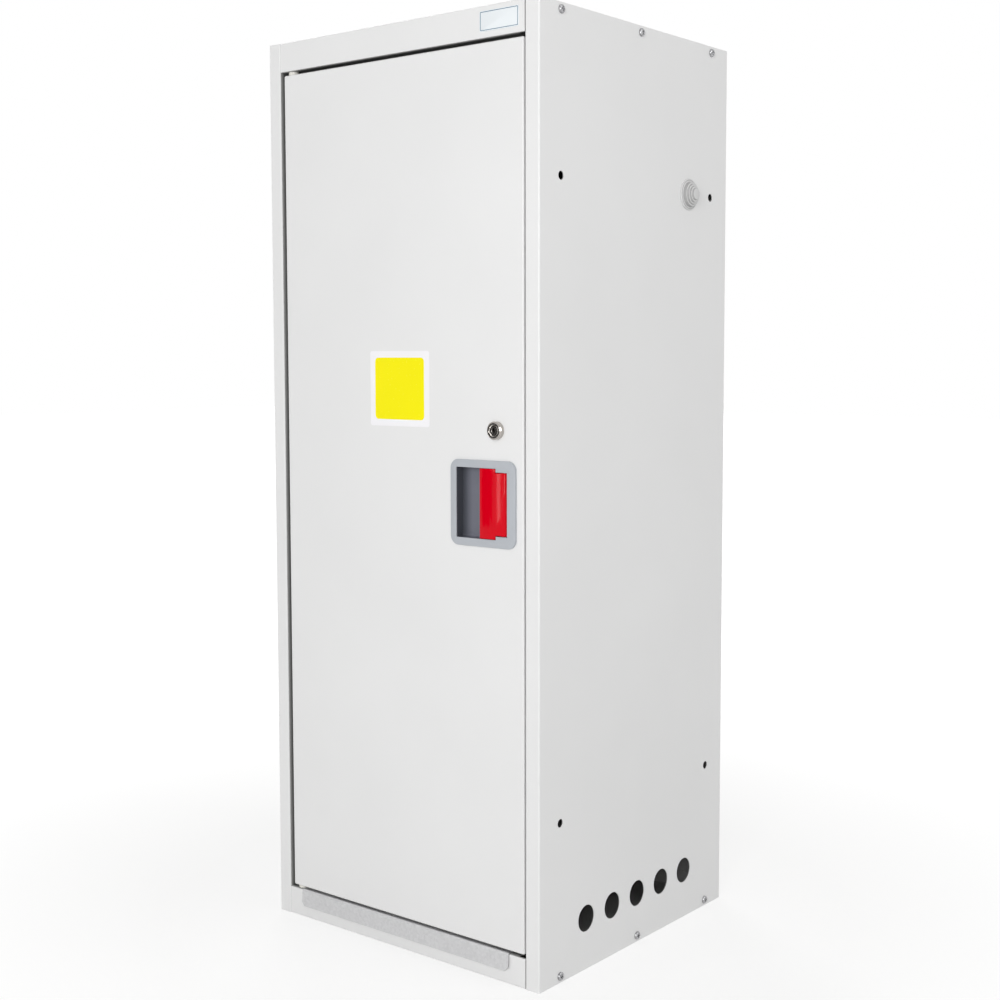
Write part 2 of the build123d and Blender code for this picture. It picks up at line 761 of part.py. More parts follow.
# Handle housing: a bezel on the door's face and a tub behind it, with two lugs for the pin
pin_half_length = opening_height / 2 - lug_height + paddle_pin_bite
guide_screw_z = guide_half + (guide_foot + guide_sheet) / 2
guide_screws_at = [(x, handle_z + j * guide_screw_z) for j in (-1, 1)
                   for x in (guide_left + guide_screw_end_distance,
                             guide_right - guide_screw_end_distance)]
with BuildPart() as handle_housing:
    with BuildSketch(front_plane):
        with Locations((bezel_x, handle_z)):
            RectangleRounded(bezel_width, bezel_height, bezel_radius)
    extrude(amount=bezel_proud)
    fillet(handle_housing.faces().sort_by(Axis.Y)[0].edges(), radius=bezel_edge_fillet)
    with BuildSketch(front_plane):
        with Locations((opening_x, handle_z)):
            Rectangle(opening_width + 2 * tub_wall, opening_height + 2 * tub_wall)
    extrude(amount=-(tub_back - front))
    with BuildSketch(Plane.XY.offset(handle_z - opening_height / 2)) as cavity:
        with Locations((opening_left, bezel_front - overrun)):
            Rectangle(opening_width, tub_depth + overrun, align=(Align.MIN, Align.MIN))
        fillet(cavity.vertices().group_by(Axis.Y)[-1], radius=tub_fillet)
    extrude(amount=opening_height, mode=Mode.SUBTRACT)
    for end, align_z in ((-1, Align.MIN), (1, Align.MAX)):
        with Locations((lug_left, bezel_front, handle_z + end * opening_height / 2)):
            Box(lug_width, tub_depth, lug_height, align=(Align.MIN, Align.MIN, align_z))
    with BuildSketch(Plane.XY.offset(handle_z - pin_half_length)):
        with Locations((paddle_axis_x, paddle_axis_y)):
            Circle(paddle_pin_diameter / 2 + pin_fit)
    extrude(amount=2 * pin_half_length, mode=Mode.SUBTRACT)
    with BuildSketch(Plane.XZ.offset(-tub_back - overrun)):
        with Locations((paddle_axis_x - crank_slot_left, handle_z)):
            Rectangle(crank_slot_left + crank_slot_right, crank_height + 2 * crank_slot_play,
                      align=(Align.MIN, Align.CENTER))
    extrude(amount=tub_wall + 2 * overrun, mode=Mode.SUBTRACT)
    with BuildSketch(Plane.XZ.offset(-tub_back)):
        with Locations(guide_screws_at):
            Circle(small_screw_diameter / 2 + pin_fit)
    extrude(amount=guide_screw_bite, mode=Mode.SUBTRACT)
    with BuildSketch(front_plane):
        with Locations(handle_screws_at):
            Circle(small_screw_diameter / 2 + pin_fit)
    extrude(amount=handle_screw_bite, mode=Mode.SUBTRACT)

# Retainer: a frame behind the door's skin that the four screws draw the bezel against
retainer_plane = front_plane.offset(-door_sheet)
with BuildPart() as handle_retainer:
    with BuildSketch(retainer_plane):
        with Locations((bezel_x, handle_z)):
            RectangleRounded(bezel_width, bezel_height, bezel_radius)
        with Locations((opening_x, handle_z)):
            Rectangle(cut_width, cut_height, mode=Mode.SUBTRACT)
        with Locations(handle_screws_at):
            Circle(small_screw_hole / 2, mode=Mode.SUBTRACT)
    extrude(amount=-retainer_sheet)

retainer_back = retainer_plane.offset(-retainer_sheet)
with BuildPart() as handle_screws:
    with BuildSketch(retainer_back):
        with Locations(handle_screws_at):
            Circle(handle_screw_head_diameter / 2)
    extrude(amount=-handle_screw_head_height)
    with BuildSketch(retainer_back):
        with Locations(handle_screws_at):
            Circle(small_screw_diameter / 2)
    extrude(amount=retainer_sheet + door_sheet + handle_screw_bite)

# Paddle: a flat pull with a turned-in grip edge, a hub on the pin and a crank for the bolt
with BuildPart() as handle_paddle:
    for height, right in ((paddle_hub_height, paddle_axis_x), (paddle_full_height, paddle_full_right)):
        with BuildSketch(Plane.XY.offset(handle_z - height / 2)) as plan:
            with Locations((paddle_left, paddle_face)):
                Rectangle(right - paddle_left, paddle_thickness, align=(Align.MIN, Align.MIN))
            rear_corner = plan.vertices().group_by(Axis.X)[-1].sort_by(Axis.Y)[-1]
            chamfer(rear_corner, length=paddle_edge_bevel)
            with Locations((paddle_left, paddle_face)):
                Rectangle(paddle_thickness, paddle_grip_depth, align=(Align.MIN, Align.MIN))
        extrude(amount=height)
    with BuildSketch(Plane.XY.offset(handle_z - paddle_hub_height / 2)):
        with Locations((paddle_axis_x, paddle_axis_y)):
            Circle(hub_radius)
    extrude(amount=paddle_hub_height)
    with BuildSketch(Plane.XY.offset(handle_z - crank_height / 2)):
        with Locations((paddle_axis_x, paddle_axis_y)):
            Rectangle(crank_width, crank_radius, align=(Align.CENTER, Align.MIN))
        with Locations((paddle_axis_x, crank_y)):
            Circle(crank_nose_radius)
    extrude(amount=crank_height)
    with BuildSketch(Plane.XY.offset(handle_z - opening_height / 2)):
        with Locations((paddle_axis_x, paddle_axis_y)):
            Circle(paddle_pin_diameter / 2 + bush_play)
    extrude(amount=opening_height, mode=Mode.SUBTRACT)

with BuildPart() as paddle_pin:
    with BuildSketch(Plane.XY.offset(handle_z - pin_half_length)):
        with Locations((paddle_axis_x, paddle_axis_y)):
            Circle(paddle_pin_diameter / 2)
    extrude(amount=2 * pin_half_length)

# Latch bolt, with a window for the crank's nose and a bevel on its tip
with BuildPart() as latch_bolt:
    with BuildSketch(Plane.XY.offset(handle_z - bolt_height / 2)) as bolt_plan:
        with Locations((bolt_end, bolt_front)):
            Rectangle(bolt_tip - bolt_end, bolt_thickness, align=(Align.MIN, Align.MIN))
        chamfer(bolt_plan.vertices().group_by(Axis.X)[-1].sort_by(Axis.Y)[-1], length=bolt_bevel)
    extrude(amount=bolt_height)
    window_height = crank_height + 2 * bolt_window_play
    with BuildSketch(Plane.XY.offset(handle_z - window_height / 2)):
        with Locations((paddle_axis_x, bolt_y)):
            Rectangle(2 * (crank_nose_radius + bolt_play), bolt_thickness + 2 * overrun)
    extrude(amount=window_height, mode=Mode.SUBTRACT)

# Latch guide: a hat section over the bolt, closed at the spring's end
foot_bend = guide_sheet + guide_bend_radius
with BuildPart() as latch_guide:
    with BuildSketch(Plane.YZ.offset(guide_left)):
        with BuildLine():
            FilletPolyline(
                (tub_back, handle_z - guide_half - guide_foot),
                (tub_back, handle_z - guide_half),
                (guide_inside, handle_z - guide_half),
                (guide_inside, handle_z + guide_half),
                (tub_back, handle_z + guide_half),
                (tub_back, handle_z + guide_half + guide_foot),
                radius=[foot_bend, guide_bend_radius, guide_bend_radius, foot_bend],
            )
            offset(amount=guide_sheet, side=Side.RIGHT)
        make_face()
    extrude(amount=guide_length)
    with Locations((guide_left, tub_back, handle_z)):
        Box(guide_sheet, guide_inside - tub_back + guide_sheet / 2, 2 * guide_half + guide_sheet,
            align=(Align.MIN, Align.MIN, Align.CENTER))
    with BuildSketch(Plane.XZ.offset(-tub_back + overrun)):
        with Locations(guide_screws_at):
            Circle(small_screw_hole / 2)
    extrude(amount=-(guide_sheet + 2 * overrun), mode=Mode.SUBTRACT)

guide_face = Plane.XZ.offset(-(tub_back + guide_sheet))
with BuildPart() as guide_screws:
    with BuildSketch(guide_face):
        with Locations(guide_screws_at):
            Circle(guide_screw_head_diameter / 2)
    extrude(amount=-guide_screw_head_height)
    with BuildSketch(guide_face):
        with Locations(guide_screws_at):
            Circle(small_screw_diameter / 2)
    extrude(amount=guide_sheet + guide_screw_bite)

# Spring that pushes the bolt out, shown as the sleeve its turns fill
spring_start = guide_left + guide_sheet
with BuildPart() as latch_spring:
    with BuildSketch(Plane.YZ.offset(spring_start)):
        with Locations((bolt_y, handle_z)):
            Circle(spring_diameter / 2)
            Circle(spring_diameter / 2 - spring_wire, mode=Mode.SUBTRACT)
    extrude(amount=bolt_end - seam - spring_start)

# Cam lock
lock_rear = cam_front - lock_cam_play
lock_face = front - lock_head_proud
with BuildPart() as lock_body:
    with BuildSketch(front_plane):
        with Locations((lock_x, lock_z)):
            Circle(lock_head_diameter / 2)
    extrude(amount=lock_head_proud)
    chamfer(lock_body.faces().sort_by(Axis.Y)[0].edges(), length=lock_head_chamfer)
    with BuildSketch(front_plane):
        with Locations((lock_x, lock_z)):
            Circle(lock_thread_diameter / 2)
            Rectangle(lock_flat_width, lock_thread_diameter, mode=Mode.INTERSECT)
    extrude(amount=-(lock_rear - front))
    with BuildSketch(front_plane.offset(lock_head_proud + overrun)):
        with Locations((lock_x, lock_z)):
            Circle(lock_plug_diameter / 2 + lock_plug_play)
    extrude(amount=-(lock_rear - lock_face + 2 * overrun), mode=Mode.SUBTRACT)

with BuildPart() as lock_nut:
    with BuildSketch(retainer_plane):
        with Locations((lock_x, lock_z)):
            RegularPolygon(lock_nut_size / 2, 6, major_radius=False)
            Circle(lock_thread_diameter / 2 + pin_fit, mode=Mode.SUBTRACT)
    extrude(amount=-lock_nut_thickness)

plug_face = front_plane.offset(lock_head_proud - lock_face_recess)
cam_plane = Plane.XZ.offset(-cam_front)
cam_rear_plane = Plane.XZ.offset(-cam_back)
with BuildPart() as lock_plug:
    with BuildSketch(plug_face):
        with Locations((lock_x, lock_z)):
            Circle(lock_plug_diameter / 2)
    extrude(amount=-(cam_front - lock_face - lock_face_recess))
    with BuildSketch(cam_plane):
        with Locations((lock_x, lock_z)):
            Rectangle(cam_square, cam_square)
    extrude(amount=-cam_thickness)
    with BuildSketch(plug_face):
        with Locations((lock_x, lock_z)):
            Rectangle(key_slot_width, key_slot_height)
    extrude(amount=-key_slot_depth, mode=Mode.SUBTRACT)
    with BuildSketch(cam_rear_plane):
        with Locations((lock_x, lock_z)):
            Circle(cam_screw_diameter / 2 + pin_fit)
    extrude(amount=cam_screw_length, mode=Mode.SUBTRACT)

with BuildPart() as lock_cam:
    with BuildSketch(cam_plane):
        with Locations((lock_x, lock_z)):
            Circle(cam_width / 2)
            Rectangle(cam_width, cam_reach, align=(Align.CENTER, Align.MIN))
            Rectangle(cam_square + cam_square_play, cam_square + cam_square_play, mode=Mode.SUBTRACT)
    extrude(amount=-cam_thickness)
    tip_edges = lock_cam.edges().filter_by(Axis.Y).group_by(Axis.Z)[-1]
    fillet(tip_edges, radius=cam_width / 5)

with BuildPart() as cam_screw:
    with BuildSketch(cam_rear_plane):
        with Locations((lock_x, lock_z)):
            Circle(cam_screw_head_diameter / 2)
    extrude(amount=-cam_screw_head_height)
    with BuildSketch(cam_rear_plane):
        with Locations((lock_x, lock_z)):
            Circle(cam_screw_diameter / 2)
    extrude(amount=cam_screw_length)

pieces = {
    "side_panel_right": side_panel_right,
    "side_panel_left": side_panel_left,
    "top_panel": top_panel,
    "bottom_panel": bottom_panel,
    "back_panel": back_panel,
    "back_rivets": back_rivets,
    "case_screws": case_screws,
    "hose_grommet_right": hose_grommet_right,
    "hose_grommet_left": hose_grommet_left,
    "loading_ramp": loading_ramp,
    "cylinder_cradle": cylinder_cradle,
    "cradle_rivets": cradle_rivets,
    "door_buffers": door_buffers,
    "hinge_bracket_lower": hinge_bracket_lower,
    "hinge_bracket_upper": hinge_bracket_upper,
    "hinge_pin_lower": hinge_pin_lower,
    "hinge_pin_upper": hinge_pin_upper,
    "door_panel": door_panel,
    "door_stiffener": door_stiffener,
    "door_hinge_plate_lower": door_hinge_plate_lower,
    "door_hinge_plate_upper": door_hinge_plate_upper,
    "hinge_bush_lower": hinge_bush_lower,
    "hinge_bush_upper": hinge_bush_upper,
    "handle_housing": handle_housing,
    "handle_retainer": handle_retainer,
    "handle_screws": handle_screws,
    "handle_paddle": handle_paddle,
    "paddle_pin": paddle_pin,
    "latch_bolt": latch_bolt,
    "latch_guide": latch_guide,
    "guide_screws": guide_screws,
    "latch_spring": latch_spring,
    "lock_body": lock_body,
    "lock_nut": lock_nut,
    "lock_plug": lock_plug,
    "lock_cam": lock_cam,
    "cam_screw": cam_screw,
}
os.makedirs("parts", exist_ok=True)
for name, piece in pieces.items():
    piece.part.label = name
    export_step(piece.part, f"parts/{name}.step")
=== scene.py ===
"""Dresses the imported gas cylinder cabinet: finishes, small fittings, and the studio it stands in."""

import math

import bmesh
import bpy
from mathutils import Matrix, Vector


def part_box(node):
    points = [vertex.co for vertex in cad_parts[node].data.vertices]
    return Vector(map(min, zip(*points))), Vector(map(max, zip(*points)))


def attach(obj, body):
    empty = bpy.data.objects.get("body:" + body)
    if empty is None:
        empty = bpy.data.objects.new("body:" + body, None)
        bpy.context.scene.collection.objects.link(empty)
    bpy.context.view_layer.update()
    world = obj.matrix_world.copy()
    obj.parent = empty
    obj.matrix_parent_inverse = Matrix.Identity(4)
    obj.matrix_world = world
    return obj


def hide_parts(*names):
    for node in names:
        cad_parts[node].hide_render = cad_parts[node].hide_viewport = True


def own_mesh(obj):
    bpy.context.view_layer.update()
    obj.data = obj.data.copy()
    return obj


bl_info = {
    "name": "Gas Cylinder Cabinet",
    "version": (1, 0, 0),
    "blender": (4, 5, 0),
    "location": "View3D > Sidebar > Cabinet",
    "description": "Finishes and small fittings of a sheet-steel gas cylinder cabinet",
    "category": "Object",
}

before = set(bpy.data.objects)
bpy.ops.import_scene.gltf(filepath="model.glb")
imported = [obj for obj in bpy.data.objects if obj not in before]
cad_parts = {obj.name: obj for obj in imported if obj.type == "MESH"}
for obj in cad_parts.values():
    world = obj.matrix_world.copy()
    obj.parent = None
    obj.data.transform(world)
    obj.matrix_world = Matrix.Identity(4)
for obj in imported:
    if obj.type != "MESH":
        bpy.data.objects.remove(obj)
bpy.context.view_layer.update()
MM = 0.001


def box_mm(node):
    """Lowest and highest corner of a CAD node, in millimetres."""
    low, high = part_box(node)
    return low / MM, high / MM


def axes_mm(node, radius):
    """The lowest and highest axis among equal round pieces that fill a CAD node's box."""
    low, high = box_mm(node)
    inset = Vector((radius, radius, radius))
    return low + inset, high - inset


def linear(hex_colour):
    """A colour written as an sRGB hex value, as the linear red, green, blue and alpha of a shader."""
    parts = [int(hex_colour[i:i + 2], 16) / 255 for i in (1, 3, 5)]
    return [p / 12.92 if p <= 0.04045 else ((p + 0.055) / 1.055) ** 2.4 for p in parts] + [1.0]


# Places read from the CAD, in millimetres
WALL_LOW, WALL_HIGH = box_mm("side_panel_right")
SCREW_HIGH = box_mm("case_screws")[1]
HOUSING_LOW, HOUSING_HIGH = box_mm("handle_housing")
PADDLE_LOW, PADDLE_HIGH = box_mm("handle_paddle")
PIN_LOW, PIN_HIGH = box_mm("paddle_pin")
BODY_LOW, BODY_HIGH = box_mm("lock_body")
PLUG_LOW, PLUG_HIGH = box_mm("lock_plug")
GROMMET_LOW, GROMMET_HIGH = box_mm("hose_grommet_right")
SPRING_LOW, SPRING_HIGH = box_mm("latch_spring")
FACE, REAR_FACE = WALL_LOW.y, box_mm("back_panel")[1].y

# Sizes in millimetres that a piece and its finish share: the bezel's rim beside the tub's wall with
# painted shade, and the grommet's steps, with the radius of the widest and the width of each
LEFT_RIM = 8.5
STEPS, STEP_RADIUS, STEP_WIDTH = 4, 15, 2.6


def colour(label, note, hex_colour):
    """A colour that a user may change."""
    return bpy.props.FloatVectorProperty(
        name=label, description=note, subtype="COLOR", size=4, min=0, max=1,
        default=linear(hex_colour))


def length(label, note, millimetres):
    """A size that a user may change, stored in metres."""
    return bpy.props.FloatProperty(
        name=label, description=note, subtype="DISTANCE", unit="LENGTH", min=0,
        precision=5, default=millimetres * MM)


class CabinetColours(bpy.types.PropertyGroup):
    coat: colour("Powder coat", "Coat on the carcass and the door", "#ebebeb")
    bezel: colour("Handle bezel", "Plastic of the handle's frame", "#b4b8be")
    tub: colour("Handle tub", "Plastic of the handle's recess", "#6f717c")
    paddle: colour("Paddle", "Plastic of the turning paddle", "#d8001a")
    grommet: colour("Grommet", "Rubber of the hose grommets", "#d6d6d6")
    label_film: colour("Label film", "Film of the blank label", "#fcfbfe")
    label_panel: colour("Label panel", "Plain panel printed on the blank label", "#fff400")
    plate: colour("Rail plate", "Blank plate on the top rail", "#eef3f6")


class CabinetSizes(bpy.types.PropertyGroup):
    case_head: length("Case screw head", "Diameter of a case screw's pan head", 10)
    rivet_head: length("Rivet head", "Diameter of a rivet's dome", 8)
    recess_width: length("Cross recess", "Width of a slot of a case screw's cross recess", 1.1)
    bezel_radius: length("Bezel corner", "Corner radius of the handle's bezel", 11)
    moulded_edge: length("Moulded edge", "Radius on the edges of the moulded pieces", 0.5)
    spring_wire: length("Spring wire", "Wire diameter of the latch spring", 0.8)
    label_width: length("Label width", "Width of the blank label on the door", 95)
    label_height: length("Label height", "Height of the blank label on the door", 90)
    plate_width: length("Plate width", "Width of the blank plate on the top rail", 56)
    plate_height: length("Plate height", "Height of the blank plate on the top rail", 23)
    thread_pitch: length("Thread pitch", "Pitch of the lock barrel's thread", 1.5)


# Faces that meet at more than this keep an edge between them
CRISP = math.radians(32)


# Shaping: each call leaves one piece selected, in object mode


def alone(piece=None):
    """Deselects everything, then selects the one piece, so that the next operator acts on it only."""
    bpy.ops.object.select_all(action="DESELECT")
    if piece:
        piece.select_set(True)
        bpy.context.view_layer.objects.active = piece


def settled(name=None):
    """Moves the active object's place, turn and scale into its mesh."""
    piece = bpy.context.object
    bpy.ops.object.transform_apply(location=True, rotation=True, scale=True)
    if name:
        piece.name = name
    return piece


def block(name, low, high):
    """A block between two corners in millimetres, to be shaped further."""
    alone()
    bpy.ops.mesh.primitive_cube_add(
        size=1,
        location=[(a + b) / 2 * MM for a, b in zip(low, high)],
        scale=[(b - a) * MM for a, b in zip(low, high)])
    return settled(name)


def rod(name, foot, height, radius):
    """An upright round bar on the middle of its foot, in millimetres, to be shaped further."""
    alone()
    bpy.ops.mesh.primitive_cylinder_add(
        vertices=64, radius=radius * MM, depth=height * MM,
        location=(Vector(foot) + Vector((0, 0, height / 2))) * MM)
    return settled(name)


def choose(piece, kind, test):
    """Selects in edit mode the faces, edges or vertices that pass the test."""
    bpy.ops.mesh.select_mode(type=kind)
    bpy.ops.mesh.select_all(action="DESELECT")
    shape = bmesh.from_edit_mesh(piece.data)
    found = {"VERT": shape.verts, "EDGE": shape.edges, "FACE": shape.faces}[kind]
    for part in found:
        if test(part):
            part.select_set(True)
    bmesh.update_edit_mesh(piece.data)


def round_edges(piece, axis, radius, segments, test=None):
    """Rounds the edges that run along one axis, to a radius in millimetres."""
    def runs(edge):
        run = (edge.verts[1].co - edge.verts[0].co).normalized()
        middle = (edge.verts[0].co + edge.verts[1].co) / 2
        return abs(run[axis]) > 0.999 and (test is None or test(middle / MM))
    alone(piece)
    bpy.ops.object.mode_set(mode="EDIT")
    choose(piece, "EDGE", runs)
    bpy.ops.mesh.bevel(offset=radius * MM, segments=segments, affect="EDGES")
    bpy.ops.object.mode_set(mode="OBJECT")


def turned(name, profile, steps=64):
    """Spins a profile about Z: points of (radius, height) in millimetres, from one end to the other."""
    alone()
    bpy.ops.mesh.primitive_plane_add(size=MM)
    piece = bpy.context.object
    piece.name = name
    bpy.ops.object.mode_set(mode="EDIT")
    bpy.ops.mesh.select_mode(type="VERT")
    bpy.ops.mesh.select_all(action="SELECT")
    bpy.ops.mesh.merge(type="CENTER")
    bpy.ops.transform.translate(value=(profile[0][0] * MM, 0, profile[0][1] * MM))
    for (radius, height), (next_radius, next_height) in zip(profile, profile[1:]):
        bpy.ops.mesh.extrude_vertices_move(TRANSFORM_OT_translate={
            "value": ((next_radius - radius) * MM, 0, (next_height - height) * MM)})
    bpy.ops.mesh.select_all(action="SELECT")
    bpy.ops.mesh.spin(steps=steps, angle=math.tau, center=(0, 0, 0), axis=(0, 0, 1))
    bpy.ops.mesh.select_all(action="SELECT")
    bpy.ops.mesh.remove_doubles(threshold=0.01 * MM)
    bpy.ops.mesh.normals_make_consistent(inside=False)
    bpy.ops.object.mode_set(mode="OBJECT")
    return piece


def applied(piece, kind, **settings):
    """Adds one modifier to the piece and applies it."""
    alone(piece)
    modifier = piece.modifiers.new(kind.lower(), kind)
    for key, value in settings.items():
        setattr(modifier, key, value)
    bpy.ops.object.modifier_apply(modifier=modifier.name)
    return piece


def cut(piece, tool, operation="DIFFERENCE"):
    """Cuts a piece with a tool, or joins the two, and removes the tool."""
    applied(piece, "BOOLEAN", object=tool, operation=operation, solver="EXACT")
    bpy.data.objects.remove(tool)
    return piece


def mended(piece):
    """Clears up after cuts: merges points in one place, removes empty faces and joins flat ones."""
    alone(piece)
    bpy.ops.object.mode_set(mode="EDIT")
    bpy.ops.mesh.select_all(action="SELECT")
    bpy.ops.mesh.remove_doubles(threshold=0.002 * MM)
    bpy.ops.mesh.dissolve_degenerate(threshold=0.002 * MM)
    bpy.ops.mesh.select_all(action="SELECT")
    bpy.ops.mesh.dissolve_limited(angle_limit=math.radians(0.2))
    bpy.ops.object.mode_set(mode="OBJECT")
    return piece


def softened(piece, radius, segments=3):
    """Rounds every sharp edge of the piece, to a radius in millimetres."""
    return applied(mended(piece), "BEVEL", width=radius * MM, segments=segments,
                   limit_method="ANGLE", angle_limit=CRISP, use_clamp_overlap=True)


def placed(piece, at, turn=(0, 0, 0)):
    """Turns a piece modelled at the origin and sets it at its place in millimetres."""
    alone(piece)
    piece.rotation_euler = turn
    piece.location = Vector(at) * MM
    return settled()


def copies(model, places):
    """Copies a model, mesh and all, to each (place, turn). The last place takes the model itself."""
    name, made = model.name, []
    for number, (at, turn) in enumerate(places, 1):
        piece = model
        if number < len(places):
            alone(model)
            bpy.ops.object.duplicate(linked=False)
            piece = bpy.context.object
        piece.name = f"{name}_{number:02d}"
        made.append(placed(piece, at, turn))
    return made


def fitted(piece, body, slot, look, *nodes):
    """Finishes a piece: smooth faces with crisp edges, its look, the CAD body it moves with and the
    CAD nodes it replaces."""
    mended(piece)
    bpy.ops.object.shade_smooth_by_angle(angle=CRISP)
    piece.data.materials.append(look)
    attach(piece, body)
    if nodes:
        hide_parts(*nodes)
    return piece


def dress(look, *nodes):
    """Gives CAD nodes their look."""
    for node in nodes:
        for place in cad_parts[node].material_slots:
            place.material = look


# Turns that point a piece modelled along +Z towards a side of the cabinet
FRONT = (math.radians(90), 0, 0)
REAR = (math.radians(-90), 0, 0)
RIGHT = (0, math.radians(90), 0)
LEFT = (0, math.radians(-90), 0)


# Finishes


def add_node(tree, kind, settings=None, values=None, links=None):
    """Adds one shader node with its settings, its sockets' values and the outputs that feed them."""
    node = tree.nodes.new("ShaderNode" + kind)
    for key, value in (settings or {}).items():
        setattr(node, key, value)
    for key, value in (values or {}).items():
        node.inputs[key].default_value = value
    for key, (source, output) in (links or {}).items():
        tree.links.new(source.outputs[output], node.inputs[key])
    return node


def emptied(owner):
    """The node tree of a new material or world, with no nodes in it."""
    owner.use_nodes = True
    owner.node_tree.nodes.clear()
    return owner.node_tree


def finish(name, shader_values, pattern):
    """One finish, made once: a Principled shader whose links come from pattern(tree, place), where
    place is the link of the Object coordinates."""
    if name in bpy.data.materials:
        return bpy.data.materials[name]
    made = bpy.data.materials.new(name)
    tree = emptied(made)
    place = add_node(tree, "TexCoord"), "Object"
    shader = add_node(tree, "BsdfPrincipled", values=shader_values, links=pattern(tree, place))
    add_node(tree, "OutputMaterial", links={"Surface": (shader, "BSDF")})
    made.diffuse_color = shader.inputs["Base Color"].default_value
    return made


def chosen(name):
    """The colour that the user has set under this name."""
    return list(getattr(bpy.context.scene.cabinet_colours, name))


def shades(tree, source, output, dark, light, low=0.3, high=0.7):
    """The link of a colour that runs from dark to light as a pattern rises from low to high."""
    share = add_node(tree, "MapRange", values={"From Min": low, "From Max": high},
                     links={"Value": (source, output)})
    mixed = add_node(tree, "Mix", {"data_type": "RGBA"}, {6: dark, 7: light},
                     {0: (share, "Result")})
    return mixed, 2


def highest(tree, node, *outputs):
    """The link of the highest among a node's outputs."""
    top = node, outputs[0]
    for output in outputs[1:]:
        top = add_node(tree, "Math", {"operation": "MAXIMUM"},
                       links={0: top, 1: (node, output)}), "Value"
    return top


def darker(tint, factor):
    """A linear colour at a share of its light, with its alpha kept."""
    return [part * factor for part in tint[:3]] + [1.0]


def powder_coat(name="powder_coat_polyester_orange_peel", shade_box=None):
    """Polyester powder coat, sprayed on degreased steel and baked: an eggshell gloss over fine
    orange peel, which breaks up the edge of each highlight, on sheet that is never quite flat.
    Its second argument, if given, is two corners, in millimetres, of a box inside the carcass: there the
    coat is painted grey as shade, and darker still along the edges of its opening, up to 18 mm behind
    the front, as painted shade in the gap beside the door."""
    coat = chosen("coat")

    def pattern(tree, place):
        # Film thickness drifts over about 160 mm
        drift = add_node(tree, "TexNoise", values={"Scale": 6.0, "Detail": 2.0},
                         links={"Vector": place})
        # Orange peel has waves of about 1.5 mm; drawn at 3 mm, so that it shows in the render
        peel = add_node(tree, "TexNoise", values={"Scale": 330.0, "Detail": 1.0},
                        links={"Vector": place})
        gloss = add_node(tree, "MapRange", values={"To Min": 0.36, "To Max": 0.46},
                         links={"Value": (peel, "Fac")})
        # The sheet's own waves, about 250 mm long
        sheet = add_node(tree, "TexNoise", values={"Scale": 4.0, "Detail": 0.0},
                         links={"Vector": place})
        wave = add_node(tree, "Bump", values={"Strength": 0.25, "Distance": 0.0012},
                        links={"Height": (sheet, "Fac")})
        bump = add_node(tree, "Bump", values={"Strength": 0.16, "Distance": 0.00006},
                        links={"Height": (peel, "Fac"), "Normal": (wave, "Normal")})
        tint = shades(tree, drift, "Fac", darker(coat, 0.975), coat)
        if shade_box:
            low, high = shade_box
            # How far a point lies outside the box, which is less than nothing inside it
            centred = add_node(tree, "VectorMath", {"operation": "SUBTRACT"},
                               {1: (low + high) / 2 * MM}, {0: place})
            away = add_node(tree, "VectorMath", {"operation": "ABSOLUTE"},
                            links={0: (centred, "Vector")})
            past = add_node(tree, "VectorMath", {"operation": "SUBTRACT"},
                            {1: (high - low) / 2 * MM}, {0: (away, "Vector")})
            parts = add_node(tree, "SeparateXYZ", links={"Vector": (past, "Vector")})
            in_shade_box = add_node(tree, "Math", {"operation": "LESS_THAN"}, {1: 0.0},
                              {0: highest(tree, parts, "X", "Y", "Z")})
            # Painted shade: darkest in the middle of its band, about 9 mm behind the front, fading to
            # the grey of the painted shade further in
            shade_band = 9
            point = add_node(tree, "SeparateXYZ", links={"Vector": place})
            behind = add_node(tree, "Math", {"operation": "SUBTRACT"},
                              {1: (low.y + shade_band) * MM}, {0: (point, "Y")})
            apart = add_node(tree, "Math", {"operation": "ABSOLUTE"}, links={0: (behind, "Value")})
            inner = shades(tree, apart, "Value", linear("#5c5c5b"), linear("#b0b0af"),
                           shade_band / 3 * MM, shade_band * MM)
            # Inside the box the painted shade takes the place of the coat's colour
            tint = add_node(tree, "Mix", {"data_type": "RGBA"},
                            links={0: (in_shade_box, "Value"), 6: tint, 7: inner}), 2
        return {"Base Color": tint, "Roughness": (gloss, "Result"), "Normal": (bump, "Normal")}

    return finish(name, {"Metallic": 0.0, "IOR": 1.52, "Base Color": coat}, pattern)


def galvanised_steel():
    """Steel sheet, hot-dip galvanised: spangles of zinc crystals, each a little lighter or darker
    and glossier or duller than the next, so the sheet looks patched in one grey."""
    def pattern(tree, place):
        # Spangles of minimised zinc sheet: 0.5 mm in truth, drawn at 3 mm, so that they show
        spangle = add_node(tree, "TexVoronoi", values={"Scale": 330.0}, links={"Vector": place})
        cell = add_node(tree, "SeparateColor", links={"Color": (spangle, "Color")})
        grain = add_node(tree, "TexNoise", values={"Scale": 700.0, "Detail": 2.0},
                         links={"Vector": place})
        gloss = add_node(tree, "MapRange", values={"To Min": 0.38, "To Max": 0.5},
                         links={"Value": (cell, "Green")})
        # The passivated skin is rougher than 0.1 mm grain; drawn at 1.4 mm so that it shows
        bump = add_node(tree, "Bump", values={"Strength": 0.12, "Distance": 0.00004},
                        links={"Height": (grain, "Fac")})
        return {"Base Color": shades(tree, cell, "Red", linear("#c6c6c7"), linear("#cfcfd0"),
                                     0.0, 1.0),
                "Roughness": (gloss, "Result"), "Normal": (bump, "Normal")}

    return finish("galvanised_steel_hot_dip_spangle", {"Metallic": 1.0}, pattern)


